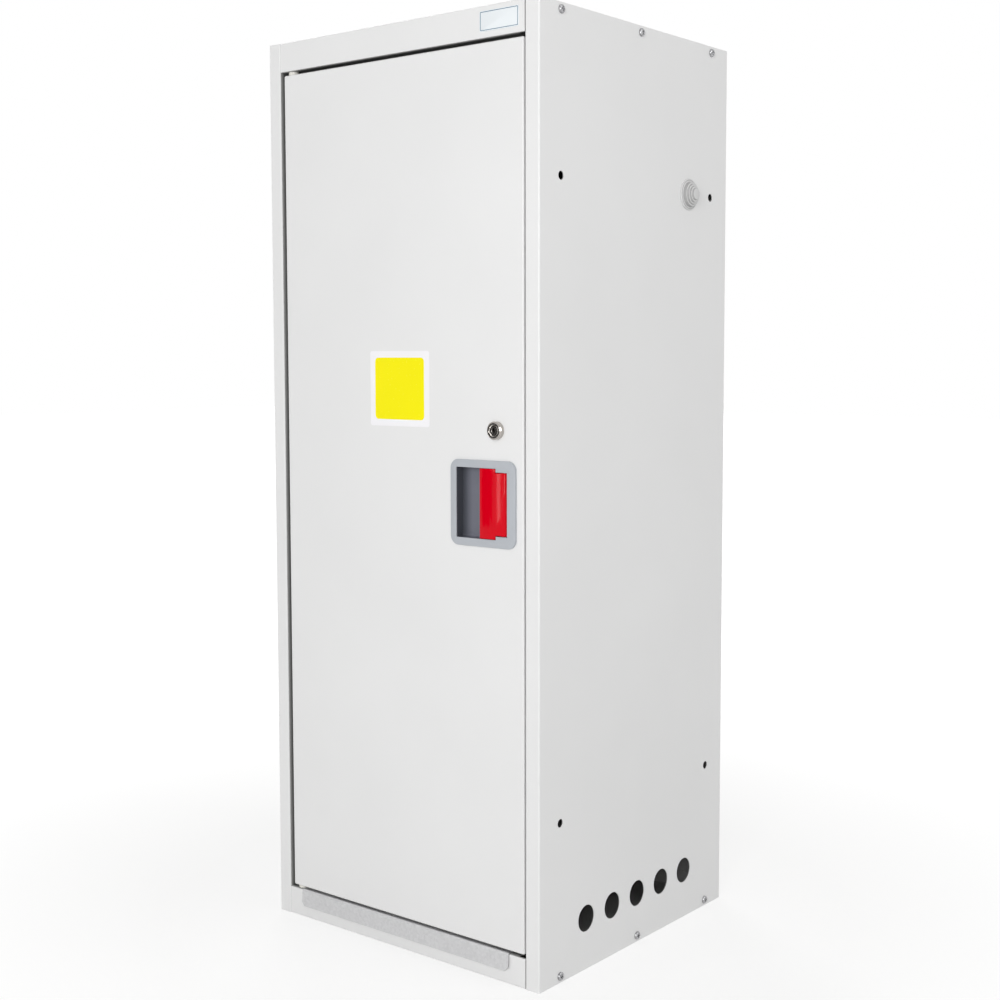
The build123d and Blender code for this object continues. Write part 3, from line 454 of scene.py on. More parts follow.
def plated(name, dark, light, gloss, patch, detail):
    """Plated steel, clouded in patches that run from dark to light and across a range of roughness.
    A patch is given in millimetres."""
    def pattern(tree, place):
        cloud = add_node(tree, "TexNoise", values={"Scale": 1000.0 / patch, "Detail": detail},
                         links={"Vector": place})
        rough = add_node(tree, "MapRange", values={"To Min": gloss[0], "To Max": gloss[1]},
                         links={"Value": (cloud, "Fac")})
        return {"Base Color": shades(tree, cloud, "Fac", linear(dark), linear(light)),
                "Roughness": (rough, "Result")}

    return finish(name, {"Metallic": 1.0}, pattern)


def zinc_plate():
    """Steel, zinc plated and clear passivated: a bright bluish grey with a thin cloudy film."""
    return plated("steel_zinc_plated_clear_passivated", "#b4bac0", "#cfd3d6",
                  gloss=(0.22, 0.36), patch=4, detail=3.0)


def screw_plate():
    """Steel, cold headed and nickel plated: bright, with a soft bloom left by the header's die."""
    return plated("steel_cold_headed_nickel_plated", "#8c8c8e", "#bdbdbf",
                  gloss=(0.16, 0.28), patch=2, detail=2.0)


def nickel_plate():
    """Die-cast zinc, turned and nickel-chrome plated: a mirror with a faint trace of the lathe,
    which draws out its reflections into rings. Light and dark rings are also painted into its colour
    as painted reflection. Its colour is drawn a little darker than chrome is, as painted reflection,
    because a white studio has few dark sides for it to mirror."""
    centre = (PLUG_LOW + PLUG_HIGH) / 2 * MM

    def pattern(tree, place):
        # Rings about the lock's own axis; the 0.05 mm feed is drawn at 0.6 mm, so that it shows
        centred = add_node(tree, "Mapping", {"vector_type": "POINT"},
                           {"Location": [-part for part in centre]},
                           {"Vector": place})
        rings = add_node(tree, "TexWave", {"wave_type": "RINGS", "rings_direction": "Y"},
                         {"Scale": 260.0, "Distortion": 0.0}, {"Vector": (centred, "Vector")})
        gloss = add_node(tree, "MapRange", values={"To Min": 0.07, "To Max": 0.16},
                         links={"Value": (rings, "Fac")})
        bump = add_node(tree, "Bump", values={"Strength": 0.15, "Distance": 0.00003},
                        links={"Height": (rings, "Fac")})
        # Painted reflection: the colour runs in light and dark rings with the lathe's marks, and is
        # drawn darker than chrome
        return {"Base Color": shades(tree, rings, "Fac", linear("#9a9590"), linear("#b8b3ae")),
                "Roughness": (gloss, "Result"), "Normal": (bump, "Normal")}

    return finish("zinc_die_cast_nickel_chrome_plated", {"Metallic": 1.0}, pattern)


def moulded(name, base, gloss, ior, grain, depth, drift=0.97, sheen=0.5, shaded_side=None):
    """A moulded plastic or rubber: an even colour that drifts a little where the melt cooled last,
    under the fine grain of a spark-eroded mould. Gloss is a range of roughness, grain and depth are
    the grain's width and height in millimetres. The last argument, if given, is painted shade: a dark
    colour and the two places along X, in millimetres, between which it fades out."""
    def pattern(tree, place):
        # The melt cools unevenly over about 40 mm
        flow = add_node(tree, "TexNoise", values={"Scale": 25.0, "Detail": 1.0},
                        links={"Vector": place})
        spark = add_node(tree, "TexNoise", values={"Scale": 1000.0 / grain, "Detail": 2.0},
                         links={"Vector": place})
        rough = add_node(tree, "MapRange", values={"To Min": gloss[0], "To Max": gloss[1]},
                         links={"Value": (spark, "Fac")})
        bump = add_node(tree, "Bump", values={"Strength": 0.3, "Distance": depth * MM},
                        links={"Height": (spark, "Fac")})
        tint = shades(tree, flow, "Fac", darker(base, drift), base)
        # Painted shade: darkest at the first place along X, fading out by the second
        if shaded_side:
            shade_colour, start, end = shaded_side
            across = add_node(tree, "SeparateXYZ", links={"Vector": place})
            unshaded = add_node(tree, "MapRange",
                             values={"From Min": start * MM, "From Max": end * MM},
                             links={"Value": (across, "X")})
            tint = add_node(tree, "Mix", {"data_type": "RGBA"}, {6: shade_colour},
                            {0: (unshaded, "Result"), 7: tint}), 2
        return {"Base Color": tint, "Roughness": (rough, "Result"), "Normal": (bump, "Normal")}

    return finish(name, {"Metallic": 0.0, "IOR": ior, "Base Color": base,
                         "Specular IOR Level": sheen}, pattern)


def bezel_abs():
    """ABS, injection moulded against a fine spark-eroded face: a dry satin."""
    return moulded("abs_moulded_satin_grey", chosen("bezel"), gloss=(0.44, 0.56), ior=1.53,
                   grain=0.9, depth=0.03)


def tub_abs():
    """ABS, injection moulded, coarser grain in the recess: the duller face of the two. The recess's left
    wall is painted darker as shade, which fades out over the floor."""
    # Painted shade on the recess's left wall, fading out over the floor within 14 mm
    wall = HOUSING_LOW.x + LEFT_RIM
    unshaded = wall + 14
    return moulded("abs_moulded_matt_slate", chosen("tub"), gloss=(0.5, 0.64), ior=1.53,
                   grain=1.0, depth=0.04, drift=0.92, sheen=0.4,
                   shaded_side=(linear("#3e4148"), wall, unshaded))


def paddle_abs():
    """ABS, injection moulded in a polished mould: a clear gloss, one sharp streak along the hub."""
    return moulded("abs_moulded_gloss_red", chosen("paddle"), gloss=(0.06, 0.1), ior=1.53,
                   grain=3.0, depth=0.006, drift=0.96, sheen=0.09)


def bush_acetal():
    """Acetal, turned from bar: milky white with a waxy sheen."""
    return moulded("acetal_turned_white", linear("#e9e7e0"), gloss=(0.34, 0.44), ior=1.48,
                   grain=1.2, depth=0.03)


def grommet_rubber():
    """EPDM rubber, moulded, chalk filled: a soft pale grey close to the coat of the wall, with shade
    painted darker in the corner at the foot of each step."""
    base = chosen("grommet")
    middle = (GROMMET_LOW + GROMMET_HIGH) / 2 * MM

    def pattern(tree, place):
        # Grain of the mould, 0.8 mm
        grain = add_node(tree, "TexNoise", values={"Scale": 1250.0, "Detail": 2.0},
                         links={"Vector": place})
        # Distance from the grommet's own axis, and from it the distance to the next smaller step
        flat = add_node(tree, "VectorMath", {"operation": "MULTIPLY_ADD"},
                        {1: (0, 1, 1), 2: (0, -middle.y, -middle.z)}, {0: place})
        radius = add_node(tree, "VectorMath", {"operation": "LENGTH"}, links={0: (flat, "Vector")})
        inmost = STEP_RADIUS - STEPS * STEP_WIDTH - 0.3
        past = add_node(tree, "Math", {"operation": "SUBTRACT"}, {1: inmost * MM},
                        {0: (radius, "Value")})
        outer = add_node(tree, "Math", {"operation": "MAXIMUM"}, {1: 1.2 * MM},
                         {0: (past, "Value")})
        step = add_node(tree, "Math", {"operation": "MODULO"}, {1: STEP_WIDTH * MM},
                        {0: (outer, "Value")})
        gloss = add_node(tree, "MapRange", values={"To Min": 0.55, "To Max": 0.7},
                         links={"Value": (grain, "Fac")})
        bump = add_node(tree, "Bump", values={"Strength": 0.3, "Distance": 0.00004},
                        links={"Height": (grain, "Fac")})
        # Painted shade: darker just outside the foot of each step, back to the rubber's colour 0.8 mm
        # further out
        return {"Base Color": shades(tree, step, "Value", darker(base, 0.55), base,
                                     0.2 * MM, 1.1 * MM),
                "Roughness": (gloss, "Result"), "Normal": (bump, "Normal")}

    return finish("epdm_moulded_pale_grey", {"Metallic": 0.0, "IOR": 1.5, "Base Color": base},
                  pattern)


def buffer_rubber():
    """EPDM rubber, moulded, carbon filled: matt black."""
    return moulded("epdm_moulded_black", linear("#1b1b1c"), gloss=(0.7, 0.85), ior=1.5,
                   grain=0.8, depth=0.05)


def label_vinyl():
    """PVC film, screen printed and overlaminated: flat white with a wet-looking gloss."""
    return moulded("pvc_film_laminated_white", chosen("label_film"), gloss=(0.2, 0.28), ior=1.54,
                   grain=4.0, depth=0.01, drift=0.985)


def label_ink():
    """Solvent ink, screen printed on the film, under the same laminate."""
    return moulded("ink_screen_printed_yellow", chosen("label_panel"), gloss=(0.22, 0.3), ior=1.5,
                   grain=3.0, depth=0.003, drift=0.985, sheen=0.35)


def plate_polyester():
    """Polyester plate, matt laminated: pale, with a soft sheen that hides scratches."""
    return moulded("polyester_plate_satin", chosen("plate"), gloss=(0.36, 0.46), ior=1.57,
                   grain=5.0, depth=0.01, drift=0.98, sheen=0.35)


def plate_ink():
    """Ink, screen printed on the plate: a fine slate-blue line."""
    return moulded("ink_screen_printed_slate", linear("#5f7f96"), gloss=(0.3, 0.4), ior=1.5,
                   grain=3.0, depth=0.01, drift=0.96)


# Pieces


def dome(inner, outer, rim, top):
    """Points of a quarter ellipse, from an outer radius at the rim nearly to an inner one at the top."""
    return [(inner + (outer - inner) * math.cos(angle), rim + (top - rim) * math.sin(angle))
            for angle in (math.radians(degrees) for degrees in range(10, 81, 10))]


def pan_head(name, head, height, shank, reach, slot_width):
    """A pan-head screw along +Z with its seat at 0: a domed head, a cross recess and a threaded
    shank. Head and shank are radii; all sizes are in millimetres."""
    pitch, point = 0.9, 0.5
    profile = [(0, -reach), (0.55 * shank, -reach)]
    level = -reach + point
    while level < -pitch:
        profile += [(shank, level), (0.84 * shank, level + pitch / 2)]
        level += pitch
    # The head: an upright rim, a dome that starts from its shoulder, and a flat top
    rim, shoulder = 0.35 * height, 0.62 * head
    profile += [(0.9 * shank, 0), (head, 0), (head, rim)]
    profile += dome(shoulder, head, rim, height)
    profile += [(0.6 * head, height), (0, height)]
    piece = turned(name, profile)
    floor = 0.42 * height
    for quarter in (0, math.pi / 2):
        arm = block("recess", (-head / 2, -slot_width / 2, floor),
                    (head / 2, slot_width / 2, 2 * height))
        cut(piece, placed(arm, (0, 0, 0), (0, 0, quarter)))
    return piece


class CABINET_OT_stage(bpy.types.Operator):
    """Sets up the pale floor, the soft studio light and the camera at the photograph's viewpoint"""

    bl_idname = "cabinet.stage"
    bl_label = "Stage"

    def execute(self, context):
        alone()
        # Paper, 30 m across, a hair below the cabinet's feet
        bpy.ops.mesh.primitive_plane_add(size=30, location=(0, 0, -0.1 * MM))
        floor = settled("studio_floor")
        paper = bpy.data.materials.new("paper_roll_matt_white")
        tree = emptied(paper)
        # Seen by the camera or in a reflection, the paper glows to white: less of it near the
        # cabinet, where the lamps make up the rest and the cabinet's shadow stays, and more far off.
        place = add_node(tree, "TexCoord")
        reach = add_node(tree, "VectorMath", {"operation": "LENGTH"}, links={0: (place, "Object")})
        glowing = add_node(tree, "MapRange",
                           values={"From Min": 0.45, "From Max": 1.6, "To Min": 0.6, "To Max": 0.95},
                           links={"Value": (reach, "Value")})
        share = add_node(tree, "Math", {"operation": "MULTIPLY"},
                         links={0: self.seen_rays(tree), 1: (glowing, "Result")})
        matt = add_node(tree, "BsdfDiffuse", values={"Color": linear("#dcdcdb")})
        glow = add_node(tree, "Emission", values={"Color": (1, 1, 1, 1), "Strength": 1.19})
        both = add_node(tree, "MixShader", links={
            "Fac": (share, "Value"), 1: (matt, "BSDF"), 2: (glow, "Emission")})
        add_node(tree, "OutputMaterial", links={"Surface": (both, "Shader")})
        floor.data.materials.append(paper)

        # The air is white to look at, and lights the object less than that
        world = bpy.data.worlds.new("studio_air")
        tree = emptied(world)
        soft = add_node(tree, "Background", values={"Color": (1, 1, 1, 1), "Strength": 0.44})
        white = add_node(tree, "Background", values={"Color": (1, 1, 1, 1), "Strength": 1.0})
        both = add_node(tree, "MixShader", links={
            "Fac": self.seen_rays(tree), 1: (soft, "Background"), 2: (white, "Background")})
        add_node(tree, "OutputWorld", links={"Surface": (both, "Shader")})
        context.scene.world = world

        # Each lamp's place, width and height in metres and its power in watts; all face the cabinet
        middle = Vector((0, 0, 0.6))
        for name, place, width, height, power in (
                ("key_lamp", (1.4, -2.5, 1.15), 1.2, 1.2, 37),
                ("side_lamp", (3.0, 0.6, 2.4), 1.6, 1.6, 20.5),
                ("back_lamp", (-2.6, 2.2, 2.6), 1.6, 1.6, 36),
                ("strip_lamp", (-1.06, -2.6, 0.7), 0.16, 1.3, 5.2)):
            bpy.ops.object.light_add(type="AREA", location=place)
            lamp = context.object
            lamp.name = name
            lamp.data.shape = "RECTANGLE"
            lamp.data.size = width
            lamp.data.size_y = height
            lamp.data.energy = power
            lamp.rotation_euler = (middle - lamp.location).to_track_quat("-Z", "Y").to_euler()

        # A black card beside the lens, met by reflections only: it gives the bright metal contrast
        lock = Vector((0.15, -0.2, 0.6))
        beside = Vector((-1.21, -1.66, 0.55))
        bpy.ops.mesh.primitive_plane_add(
            size=1, location=beside,
            rotation=(lock - beside).to_track_quat("Z", "Y").to_euler())
        card = context.object
        card.name = "black_card"
        card.scale = (0.56, 1.0, 1)
        velvet = bpy.data.materials.new("velvet_black")
        tree = emptied(velvet)
        nap = add_node(tree, "BsdfDiffuse", values={"Color": linear("#0a0a0a")})
        add_node(tree, "OutputMaterial", links={"Surface": (nap, "BSDF")})
        card.data.materials.append(velvet)
        for ray in ("camera", "diffuse", "transmission", "volume_scatter", "shadow"):
            setattr(card, f"visible_{ray}", False)

        # The photograph's viewpoint, found from the cabinet's corners in it
        bpy.ops.object.camera_add(
            location=(1.2384, -1.5374, 0.7302),
            rotation=(math.radians(85.462), math.radians(0.114), math.radians(38.903)))
        camera = context.object
        camera.name = "photo_camera"
        camera.data.sensor_width = 36
        camera.data.lens = 54.56
        camera.data.shift_y = -0.025
        camera.data.clip_end = 60
        context.scene.camera = camera
        context.scene.view_settings.view_transform = "Standard"
        return {"FINISHED"}

    @staticmethod
    def seen_rays(tree):
        """1 for a ray from the camera, a reflection or a transmission, 0 for light on the object."""
        return highest(tree, add_node(tree, "LightPath"), "Is Camera Ray", "Is Glossy Ray",
                       "Is Transmission Ray")


class CABINET_OT_steelwork(bpy.types.Operator):
    """Finishes the sheet-metal pieces, the pins, the bushes and the buffers that come from the CAD"""

    bl_idname = "cabinet.steelwork"
    bl_label = "Steelwork"

    def execute(self, context):
        # The door was sprayed by itself, the carcass as one box, open only at the door's opening.
        # Its inside is taken to begin in the middle of the 1.2 mm sheet.
        dress(powder_coat(), "door_panel")
        half_sheet = Vector((0.6, 0.6, 0.6))
        inside = (Vector((-WALL_HIGH.x, FACE, WALL_LOW.z)) + half_sheet,
                  Vector((WALL_HIGH.x, REAR_FACE, WALL_HIGH.z)) - half_sheet)
        # Inside the carcass the coat is painted grey as shade, and darker in the gap beside the door
        dress(powder_coat("powder_coat_polyester_thin_inside", inside), "side_panel_right",
              "side_panel_left", "top_panel", "bottom_panel", "back_panel")
        dress(galvanised_steel(), "loading_ramp", "cylinder_cradle", "hinge_bracket_lower",
              "hinge_bracket_upper", "door_hinge_plate_lower", "door_hinge_plate_upper",
              "door_stiffener", "handle_retainer", "latch_guide", "lock_cam")
        dress(zinc_plate(), "hinge_pin_lower", "hinge_pin_upper", "paddle_pin", "latch_bolt",
              "lock_nut")
        dress(bush_acetal(), "hinge_bush_lower", "hinge_bush_upper")
        dress(buffer_rubber(), "door_buffers")
        return {"FINISHED"}


class CABINET_OT_case_screws(bpy.types.Operator):
    """Makes the twelve pan-head screws that hold the side walls to the trays"""

    bl_idname = "cabinet.case_screws"
    bl_label = "Case Screws"

    def execute(self, context):
        sizes = context.scene.cabinet_sizes
        head = sizes.case_head / MM / 2
        shank, reach = 2.5, 7
        model = pan_head("case_screw", head, SCREW_HIGH.x - WALL_HIGH.x, shank, reach,
                         sizes.recess_width / MM)
        # The CAD's heads have a radius of 5 mm
        low, high = axes_mm("case_screws", 5)
        places = [((side * WALL_HIGH.x, y, z), turn)
                  for side, turn in ((1, RIGHT), (-1, LEFT))
                  for y in (low.y, 0, high.y) for z in (low.z, high.z)]
        for piece in copies(model, places):
            fitted(piece, "carcass", "chrome_plate", screw_plate(), "case_screws")
        return {"FINISHED"}


class CABINET_OT_rivets(bpy.types.Operator):
    """Makes the blind rivets of the back panel and of the cradle"""

    bl_idname = "cabinet.rivets"
    bl_label = "Rivets"

    def execute(self, context):
        head = context.scene.cabinet_sizes.rivet_head / MM / 2
        rim, top, hollow = 0.25, 1.5, 1.3
        # The squeezed tail, the shank in its hole, the dome, and the hollow left by the mandrel
        profile = [(0, -4.4), (1.7, -4.4), (2.1, -3.6), (2.1, -2.8), (1.95, -2.4), (1.95, 0),
                   (head, 0), (head, rim)]
        profile += dome(hollow, head, rim, top)
        profile += [(1.25, top), (1.1, 1.35), (1.1, 0.5), (0.9, 0.35), (0, 0.35)]
        # The CAD's domes have a radius of 4 mm
        low, high = axes_mm("back_rivets", 4)
        heights, inner = (110, 560, 1010), WALL_HIGH.x / 3
        back = [((side * high.x, WALL_HIGH.y, z), REAR) for side in (-1, 1) for z in heights]
        back += [((side * inner, REAR_FACE, z), REAR) for side in (-1, 1) for z in (low.z, high.z)]
        low, high = axes_mm("cradle_rivets", 4)
        cradle = [((x, REAR_FACE, low.z), REAR) for x in (low.x, high.x)]
        for model, places in ((turned("back_rivet", profile), back),
                              (turned("cradle_rivet", profile), cradle)):
            node = model.name + "s"
            for piece in copies(model, places):
                fitted(piece, "carcass", "zinc_plated_steel", zinc_plate(), node)
        return {"FINISHED"}


class CABINET_OT_small_screws(bpy.types.Operator):
    """Makes the small screws of the handle retainer, the latch guide and the cam"""

    bl_idname = "cabinet.small_screws"
    bl_label = "Small Screws"

    def execute(self, context):
        # Each row: the CAD node, the screw's name, its head's radius and height, its shank's radius,
        # how many stand along each side of their square, and the body they move with
        for node, name, head, height, shank, along, body in (
                ("handle_screws", "handle_screw", 2.75, 2.0, 1.5, 2, "door"),
                ("guide_screws", "guide_screw", 2.5, 1.6, 1.5, 2, "door"),
                ("cam_screw", "cam_screw_head", 5.5, 3.5, 2.5, 1, "lock")):
            tip, crown = (corner.y for corner in box_mm(node))
            low, high = axes_mm(node, head)
            seat = crown - height
            model = pan_head(name, head, height, shank, seat - tip, 0.24 * head)
            places = [((x, seat, z), REAR) for x in (low.x, high.x)[:along]
                      for z in (low.z, high.z)[:along]]
            for piece in copies(model, places):
                fitted(piece, body, "zinc_plated_steel", zinc_plate(), node)
        return {"FINISHED"}


class CABINET_OT_handle(bpy.types.Operator):
    """Makes the recessed handle: its bezel with two lugs, its tub and its turning paddle"""

    bl_idname = "cabinet.handle"
    bl_label = "Handle"

    def execute(self, context):
        sizes = context.scene.cabinet_sizes
        edge = sizes.moulded_edge / MM
        low, high = HOUSING_LOW, HOUSING_HIGH
        # Planes along Y: before the bezel, where the tools that cut it start, and the tub's floor
        before, floor = low.y - 5, FACE + 10
        right_rim, end_rim = 12, 9
        left, right = low.x + LEFT_RIM, high.x - right_rim
        bottom, top = low.z + end_rim, high.z - end_rim
        middle = (low.z + high.z) / 2
        # Lugs: each lies in a notch that is a little deeper, and is sunk in the bezel to fuse with it
        lug_left, notch, lug_reach, sunk = right - 16.5, 4.2, 4.15, 1.2

        # Bezel: a rounded plate, its opening and the two lugs that carry the paddle's pin
        bezel = block("handle_bezel", low, (high.x, FACE, high.z))
        round_edges(bezel, 1, sizes.bezel_radius / MM, 10)
        cut(bezel, block("opening", (left, before, bottom), (lug_left, floor, top)))
        cut(bezel, block("notch", (lug_left - 1, before, bottom + notch),
                         (right, floor, top - notch)))
        softened(bezel, edge)
        for end, inward in ((bottom, 1), (top, -1)):
            ends = (end + inward * lug_reach, end - inward * sunk)
            lug = block("lug", (lug_left + 0.05, low.y + 1, min(ends)),
                        (right + sunk, floor - 0.5, max(ends)))
            cut(bezel, softened(lug, 0.3), "UNION")
        fitted(bezel, "door", "grey_plastic", bezel_abs(), "handle_housing")

        # Tub: a pocket with a filleted floor, and the slot that the crank swings in, 9.5 mm to the
        # side it swings to and 3.2 mm to the other
        wall, lip, fillet, play = 2, 1.7, 3.6, 0.02
        tub = block("handle_tub", (left - wall, FACE - lip, bottom - wall),
                    (right + wall, high.y, top + wall))
        hollow = block("hollow", (left + play, before, bottom + play),
                       (right - play, floor, top - play))
        for axis in (0, 2):
            round_edges(hollow, axis, fillet, 5, lambda middle_of: middle_of.y > floor - 1)
        cut(tub, hollow)
        axis_x, axis_y = (PIN_LOW.x + PIN_HIGH.x) / 2, (PIN_LOW.y + PIN_HIGH.y) / 2
        cut(tub, block("crank_slot", (axis_x - 9.5, floor - 5, middle - 4),
                       (axis_x + 3.2, floor + 10, middle + 4)))
        softened(tub, 0.25, 2)
        fitted(tub, "door", "grey_plastic", tub_abs())

        # Paddle: a plate that ends 1.1 mm before the lugs, with a finger grip at its free edge; a
        # hub, shorter at each end and joined to it by a web between the lugs; a crank behind the hub
        thick, grip, shorter, nose = 2.5, 5, 4.2, 2.5
        start, front, foot = PADDLE_LOW
        head = PADDLE_HIGH.z
        hub_start, hub_end = foot + shorter, head - shorter
        crank_end = PADDLE_HIGH.y - nose
        paddle = block("paddle", PADDLE_LOW, (lug_left - 1.1, front + thick, head))
        cut(paddle, block("web", (lug_left - 6, front, hub_start + 0.4),
                          (axis_x, front + thick, hub_end - 0.4)), "UNION")
        cut(paddle, block("grip", PADDLE_LOW, (start + thick, front + grip, head)), "UNION")
        softened(paddle, edge)
        for part in (
                rod("hub", (axis_x, axis_y, hub_start), hub_end - hub_start,
                    PADDLE_HIGH.x - axis_x),
                block("crank", (axis_x - 1.5, axis_y, middle - 3),
                      (axis_x + 1.5, crank_end, middle + 3)),
                rod("nose", (axis_x, crank_end, middle - 3.3), 6.6, nose)):
            cut(paddle, softened(part, edge), "UNION")
        fitted(paddle, "handle", "red_plastic", paddle_abs(), "handle_paddle")
        return {"FINISHED"}


class CABINET_OT_lock(bpy.types.Operator):
    """Makes the cam lock: its plated head on a threaded barrel, and the plug with its key slot"""

    bl_idname = "cabinet.lock"
    bl_label = "Lock"

    def execute(self, context):
        pitch = context.scene.cabinet_sizes.thread_pitch / MM
        centre = (PLUG_LOW + PLUG_HIGH) / 2
        place = (centre.x, FACE, centre.z)
        head = (BODY_HIGH.x - BODY_LOW.x) / 2
        proud, rear = FACE - BODY_LOW.y, BODY_HIGH.y - FACE
        # Radii: the bore, the barrel's end, its thread's crests and roots, and its plain neck
        bore, end, crest, root, neck = 6.05, 8.5, 9.3, 8.55, 8.6
        profile = [(bore, -rear), (end, -rear)]
        level = -rear + 0.6
        while level < -pitch - 1.5:
            profile += [(crest, level), (root, level + pitch / 2)]
            level += pitch
        # The head has a wide chamfer outside and a lip inside, which steps down to the plug
        profile += [(neck, -1.3), (neck, 0), (head - 0.3, 0), (head, 0.3), (head, proud - 1.25),
                    (head - 1.75, proud), (7.05, proud), (6.85, proud - 0.15), (6.75, proud - 0.8),
                    (bore, proud - 0.9), (bore, -rear)]
        body = turned("lock_case", profile, 96)
        # The barrel's flats, which stop the lock turning in the door, and the far side of their tool
        flat, far = 8.2, 12
        for left, right in ((-far, -flat), (flat, far)):
            cut(body, block("flat", (left, -far, -rear - 1), (right, far, -0.01)))
        placed(body, place, FRONT)
        fitted(body, "door", "chrome_plate", nickel_plate(), "lock_body")

        face, end = FACE - PLUG_LOW.y, PLUG_HIGH.y - FACE
        # A plain shank, chamfered at both ends, and a shallow dish round the key slot
        shank, dish, depth = 5.99, 3.4, 0.15
        plug = turned("lock_plug_turned", [
            (0, -end), (5.4, -end), (shank, -end + 0.6), (shank, face - 0.4), (5.6, face),
            (dish + 0.2, face), (dish, face - depth), (0, face - depth)], 96)
        cut(plug, block("key_slot", (-0.8, -4, face - 8), (0.8, 4, face + 1)))
        # Wards: the slot is stepped sideways, so that only its own key goes in
        for low, high in ((-3.1, -1.9), (0.9, 2.2)):
            cut(plug, block("ward", (-1.25, low, face - 7.6), (0.2, high, face + 1)))
        placed(plug, place, FRONT)
        fitted(plug, "lock", "chrome_plate", nickel_plate(), "lock_plug")
        return {"FINISHED"}


class CABINET_OT_latch_spring(bpy.types.Operator):
    """Makes the latch's compression spring as a wound wire"""

    bl_idname = "cabinet.latch_spring"
    bl_label = "Latch Spring"

    def execute(self, context):
        wire = context.scene.cabinet_sizes.spring_wire / MM / 2
        low, high = SPRING_LOW, SPRING_HIGH
        across = (high.z - low.z) / 2
        span = high.x - low.x
        coils, steps_per_coil = 8, 28
        alone()
        bpy.ops.mesh.primitive_circle_add(vertices=12, radius=wire * MM, fill_type="NOTHING",
                                          rotation=(math.radians(90), 0, 0),
                                          location=((across - wire) * MM, 0, wire * MM))
        spring = settled("latch_spring_coil")
        applied(spring, "SCREW", axis="Z", angle=math.tau, iterations=coils,
                steps=steps_per_coil, render_steps=steps_per_coil,
                screw_offset=(span - 2 * wire) / coils * MM, use_smooth_shade=True)
        bpy.ops.object.mode_set(mode="EDIT")
        bpy.ops.mesh.select_all(action="SELECT")
        bpy.ops.mesh.remove_doubles(threshold=0.001 * MM)
        choose(spring, "EDGE", lambda edge: edge.is_boundary)
        bpy.ops.mesh.edge_face_add()
        bpy.ops.mesh.select_all(action="SELECT")
        bpy.ops.mesh.normals_make_consistent(inside=False)
        bpy.ops.object.mode_set(mode="OBJECT")
        placed(spring, (low.x, (low.y + high.y) / 2, (low.z + high.z) / 2), RIGHT)
        fitted(spring, "door", "zinc_plated_steel", zinc_plate(), "latch_spring")
        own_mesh(spring)
        return {"FINISHED"}


class CABINET_OT_grommets(bpy.types.Operator):
    """Makes the two stepped hose grommets, high in the side walls"""

    bl_idname = "cabinet.grommets"
    bl_label = "Hose Grommets"

    def execute(self, context):
        flange = (GROMMET_HIGH.z - GROMMET_LOW.z) / 2
        groove, lip_end, membrane = 15.9, -2.8, 1.6
        # Down the steps, round the flange, in and out of the groove that holds the wall, round the
        # lip behind it, and up again inside the membrane
        profile = self.steps(2, 0)[::-1] + [
            (flange - 0.2, 1.7), (flange, 0.9), (flange - 0.2, 0), (groove, 0), (groove, -1.2),
            (17.4, -1.2), (17.2, lip_end)] + self.steps(lip_end, membrane)
        model = softened(turned("hose_grommet", profile, 72), 0.45)
        middle = (GROMMET_LOW + GROMMET_HIGH) / 2
        pieces = copies(model, [
            ((WALL_HIGH.x, middle.y, middle.z), RIGHT),
            ((-WALL_HIGH.x, middle.y, middle.z), LEFT)])
        for piece, node in zip(pieces, ("hose_grommet_right", "hose_grommet_left")):
            fitted(piece, "carcass", "grommet_rubber", grommet_rubber(), node)
        return {"FINISHED"}

    @staticmethod
    def steps(foot, inset):
        """Points up the steps, from a foot to the middle, each moved in by the same thickness."""
        first, rise = 6, 2
        points, below = [], foot
        for number in range(STEPS):
            radius = STEP_RADIUS - number * STEP_WIDTH - inset
            above = first + number * rise - inset
            points += [(radius, below), (radius, above)]
            below = above
        return points + [(0, below)]


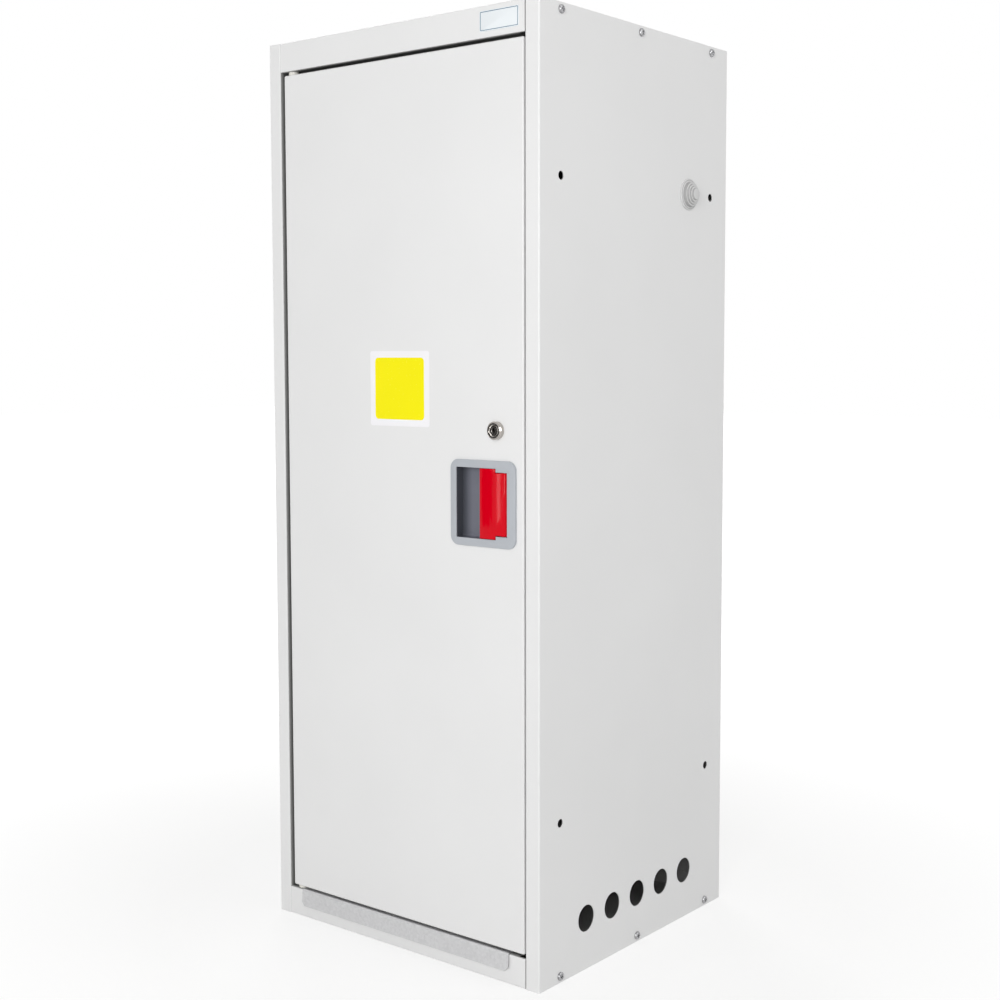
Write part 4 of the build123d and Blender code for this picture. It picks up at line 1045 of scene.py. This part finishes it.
class CABINET_OT_labels(bpy.types.Operator):
    """Makes the blank label on the door and the blank plate on the top rail, with its fine border"""

    bl_idname = "cabinet.labels"
    bl_label = "Blank Label and Plate"

    def execute(self, context):
        sizes = context.scene.cabinet_sizes
        place, border = (4.5, 690), 8
        width, height = sizes.label_width / MM, sizes.label_height / MM
        label = self.sheet("blank_label", place, width, height, 0.16, corner=3, segments=6)
        fitted(label, "door", "pale_plastic", label_vinyl())
        panel = self.sheet("blank_label_panel", place, width - 2 * border, height - 2 * border,
                           0.2, rear=0.15, corner=5, segments=6)
        fitted(panel, "door", "pale_plastic", label_ink())

        place = (159, 1102.5)
        width, height = sizes.plate_width / MM, sizes.plate_height / MM
        plate = self.sheet("blank_plate", place, width, height, 0.75, corner=1.5)
        softened(plate, 0.3, 2)
        fitted(plate, "carcass", "pale_plastic", plate_polyester())
        # A printed line 1 mm from its edge and 0.8 mm wide: a flat ring, as thin as the ink
        inset, line = 1, 0.8
        width, height = width - 2 * inset, height - 2 * inset
        ring = self.sheet("blank_plate_line", place, width, height, 0.8, rear=0.7, corner=1)
        cut(ring, self.sheet("middle", place, width - 2 * line, height - 2 * line,
                             1, rear=0.6, corner=0.6))
        fitted(ring, "carcass", "pale_plastic", plate_ink())
        return {"FINISHED"}

    @staticmethod
    def sheet(name, place, width, height, front, corner, rear=0, segments=4):
        """A thin upright sheet with round corners, about a place (across, up). Its front and its rear
        stand so many millimetres before the cabinet's face."""
        across, up = place
        piece = block(name, (across - width / 2, FACE - front, up - height / 2),
                      (across + width / 2, FACE - rear, up + height / 2))
        round_edges(piece, 1, corner, segments)
        return piece


OPERATORS = (
    CABINET_OT_stage, CABINET_OT_steelwork, CABINET_OT_case_screws, CABINET_OT_rivets,
    CABINET_OT_small_screws, CABINET_OT_handle, CABINET_OT_lock, CABINET_OT_latch_spring,
    CABINET_OT_grommets, CABINET_OT_labels,
)


class CABINET_PT_panel(bpy.types.Panel):
    """Lists the cabinet's settings and its operators"""

    bl_idname = "CABINET_PT_panel"
    bl_label = "Gas Cylinder Cabinet"
    bl_space_type = "VIEW_3D"
    bl_region_type = "UI"
    bl_category = "Cabinet"

    def draw(self, context):
        for group in (context.scene.cabinet_colours, context.scene.cabinet_sizes):
            column = self.layout.column(align=True)
            for name in group.__annotations__:
                column.prop(group, name)
        for operator in OPERATORS:
            self.layout.operator(operator.bl_idname)


CLASSES = (CabinetColours, CabinetSizes) + OPERATORS + (CABINET_PT_panel,)


def register():
    for each in CLASSES:
        bpy.utils.register_class(each)
    bpy.types.Scene.cabinet_colours = bpy.props.PointerProperty(type=CabinetColours)
    bpy.types.Scene.cabinet_sizes = bpy.props.PointerProperty(type=CabinetSizes)


def unregister():
    del bpy.types.Scene.cabinet_sizes
    del bpy.types.Scene.cabinet_colours
    for each in reversed(CLASSES):
        bpy.utils.unregister_class(each)


def main():
    """Builds the whole scene, piece by piece."""
    register()
    for operator in OPERATORS:
        group, name = operator.bl_idname.split(".")
        getattr(getattr(bpy.ops, group), name)()


if __name__ == "__main__":
    main()
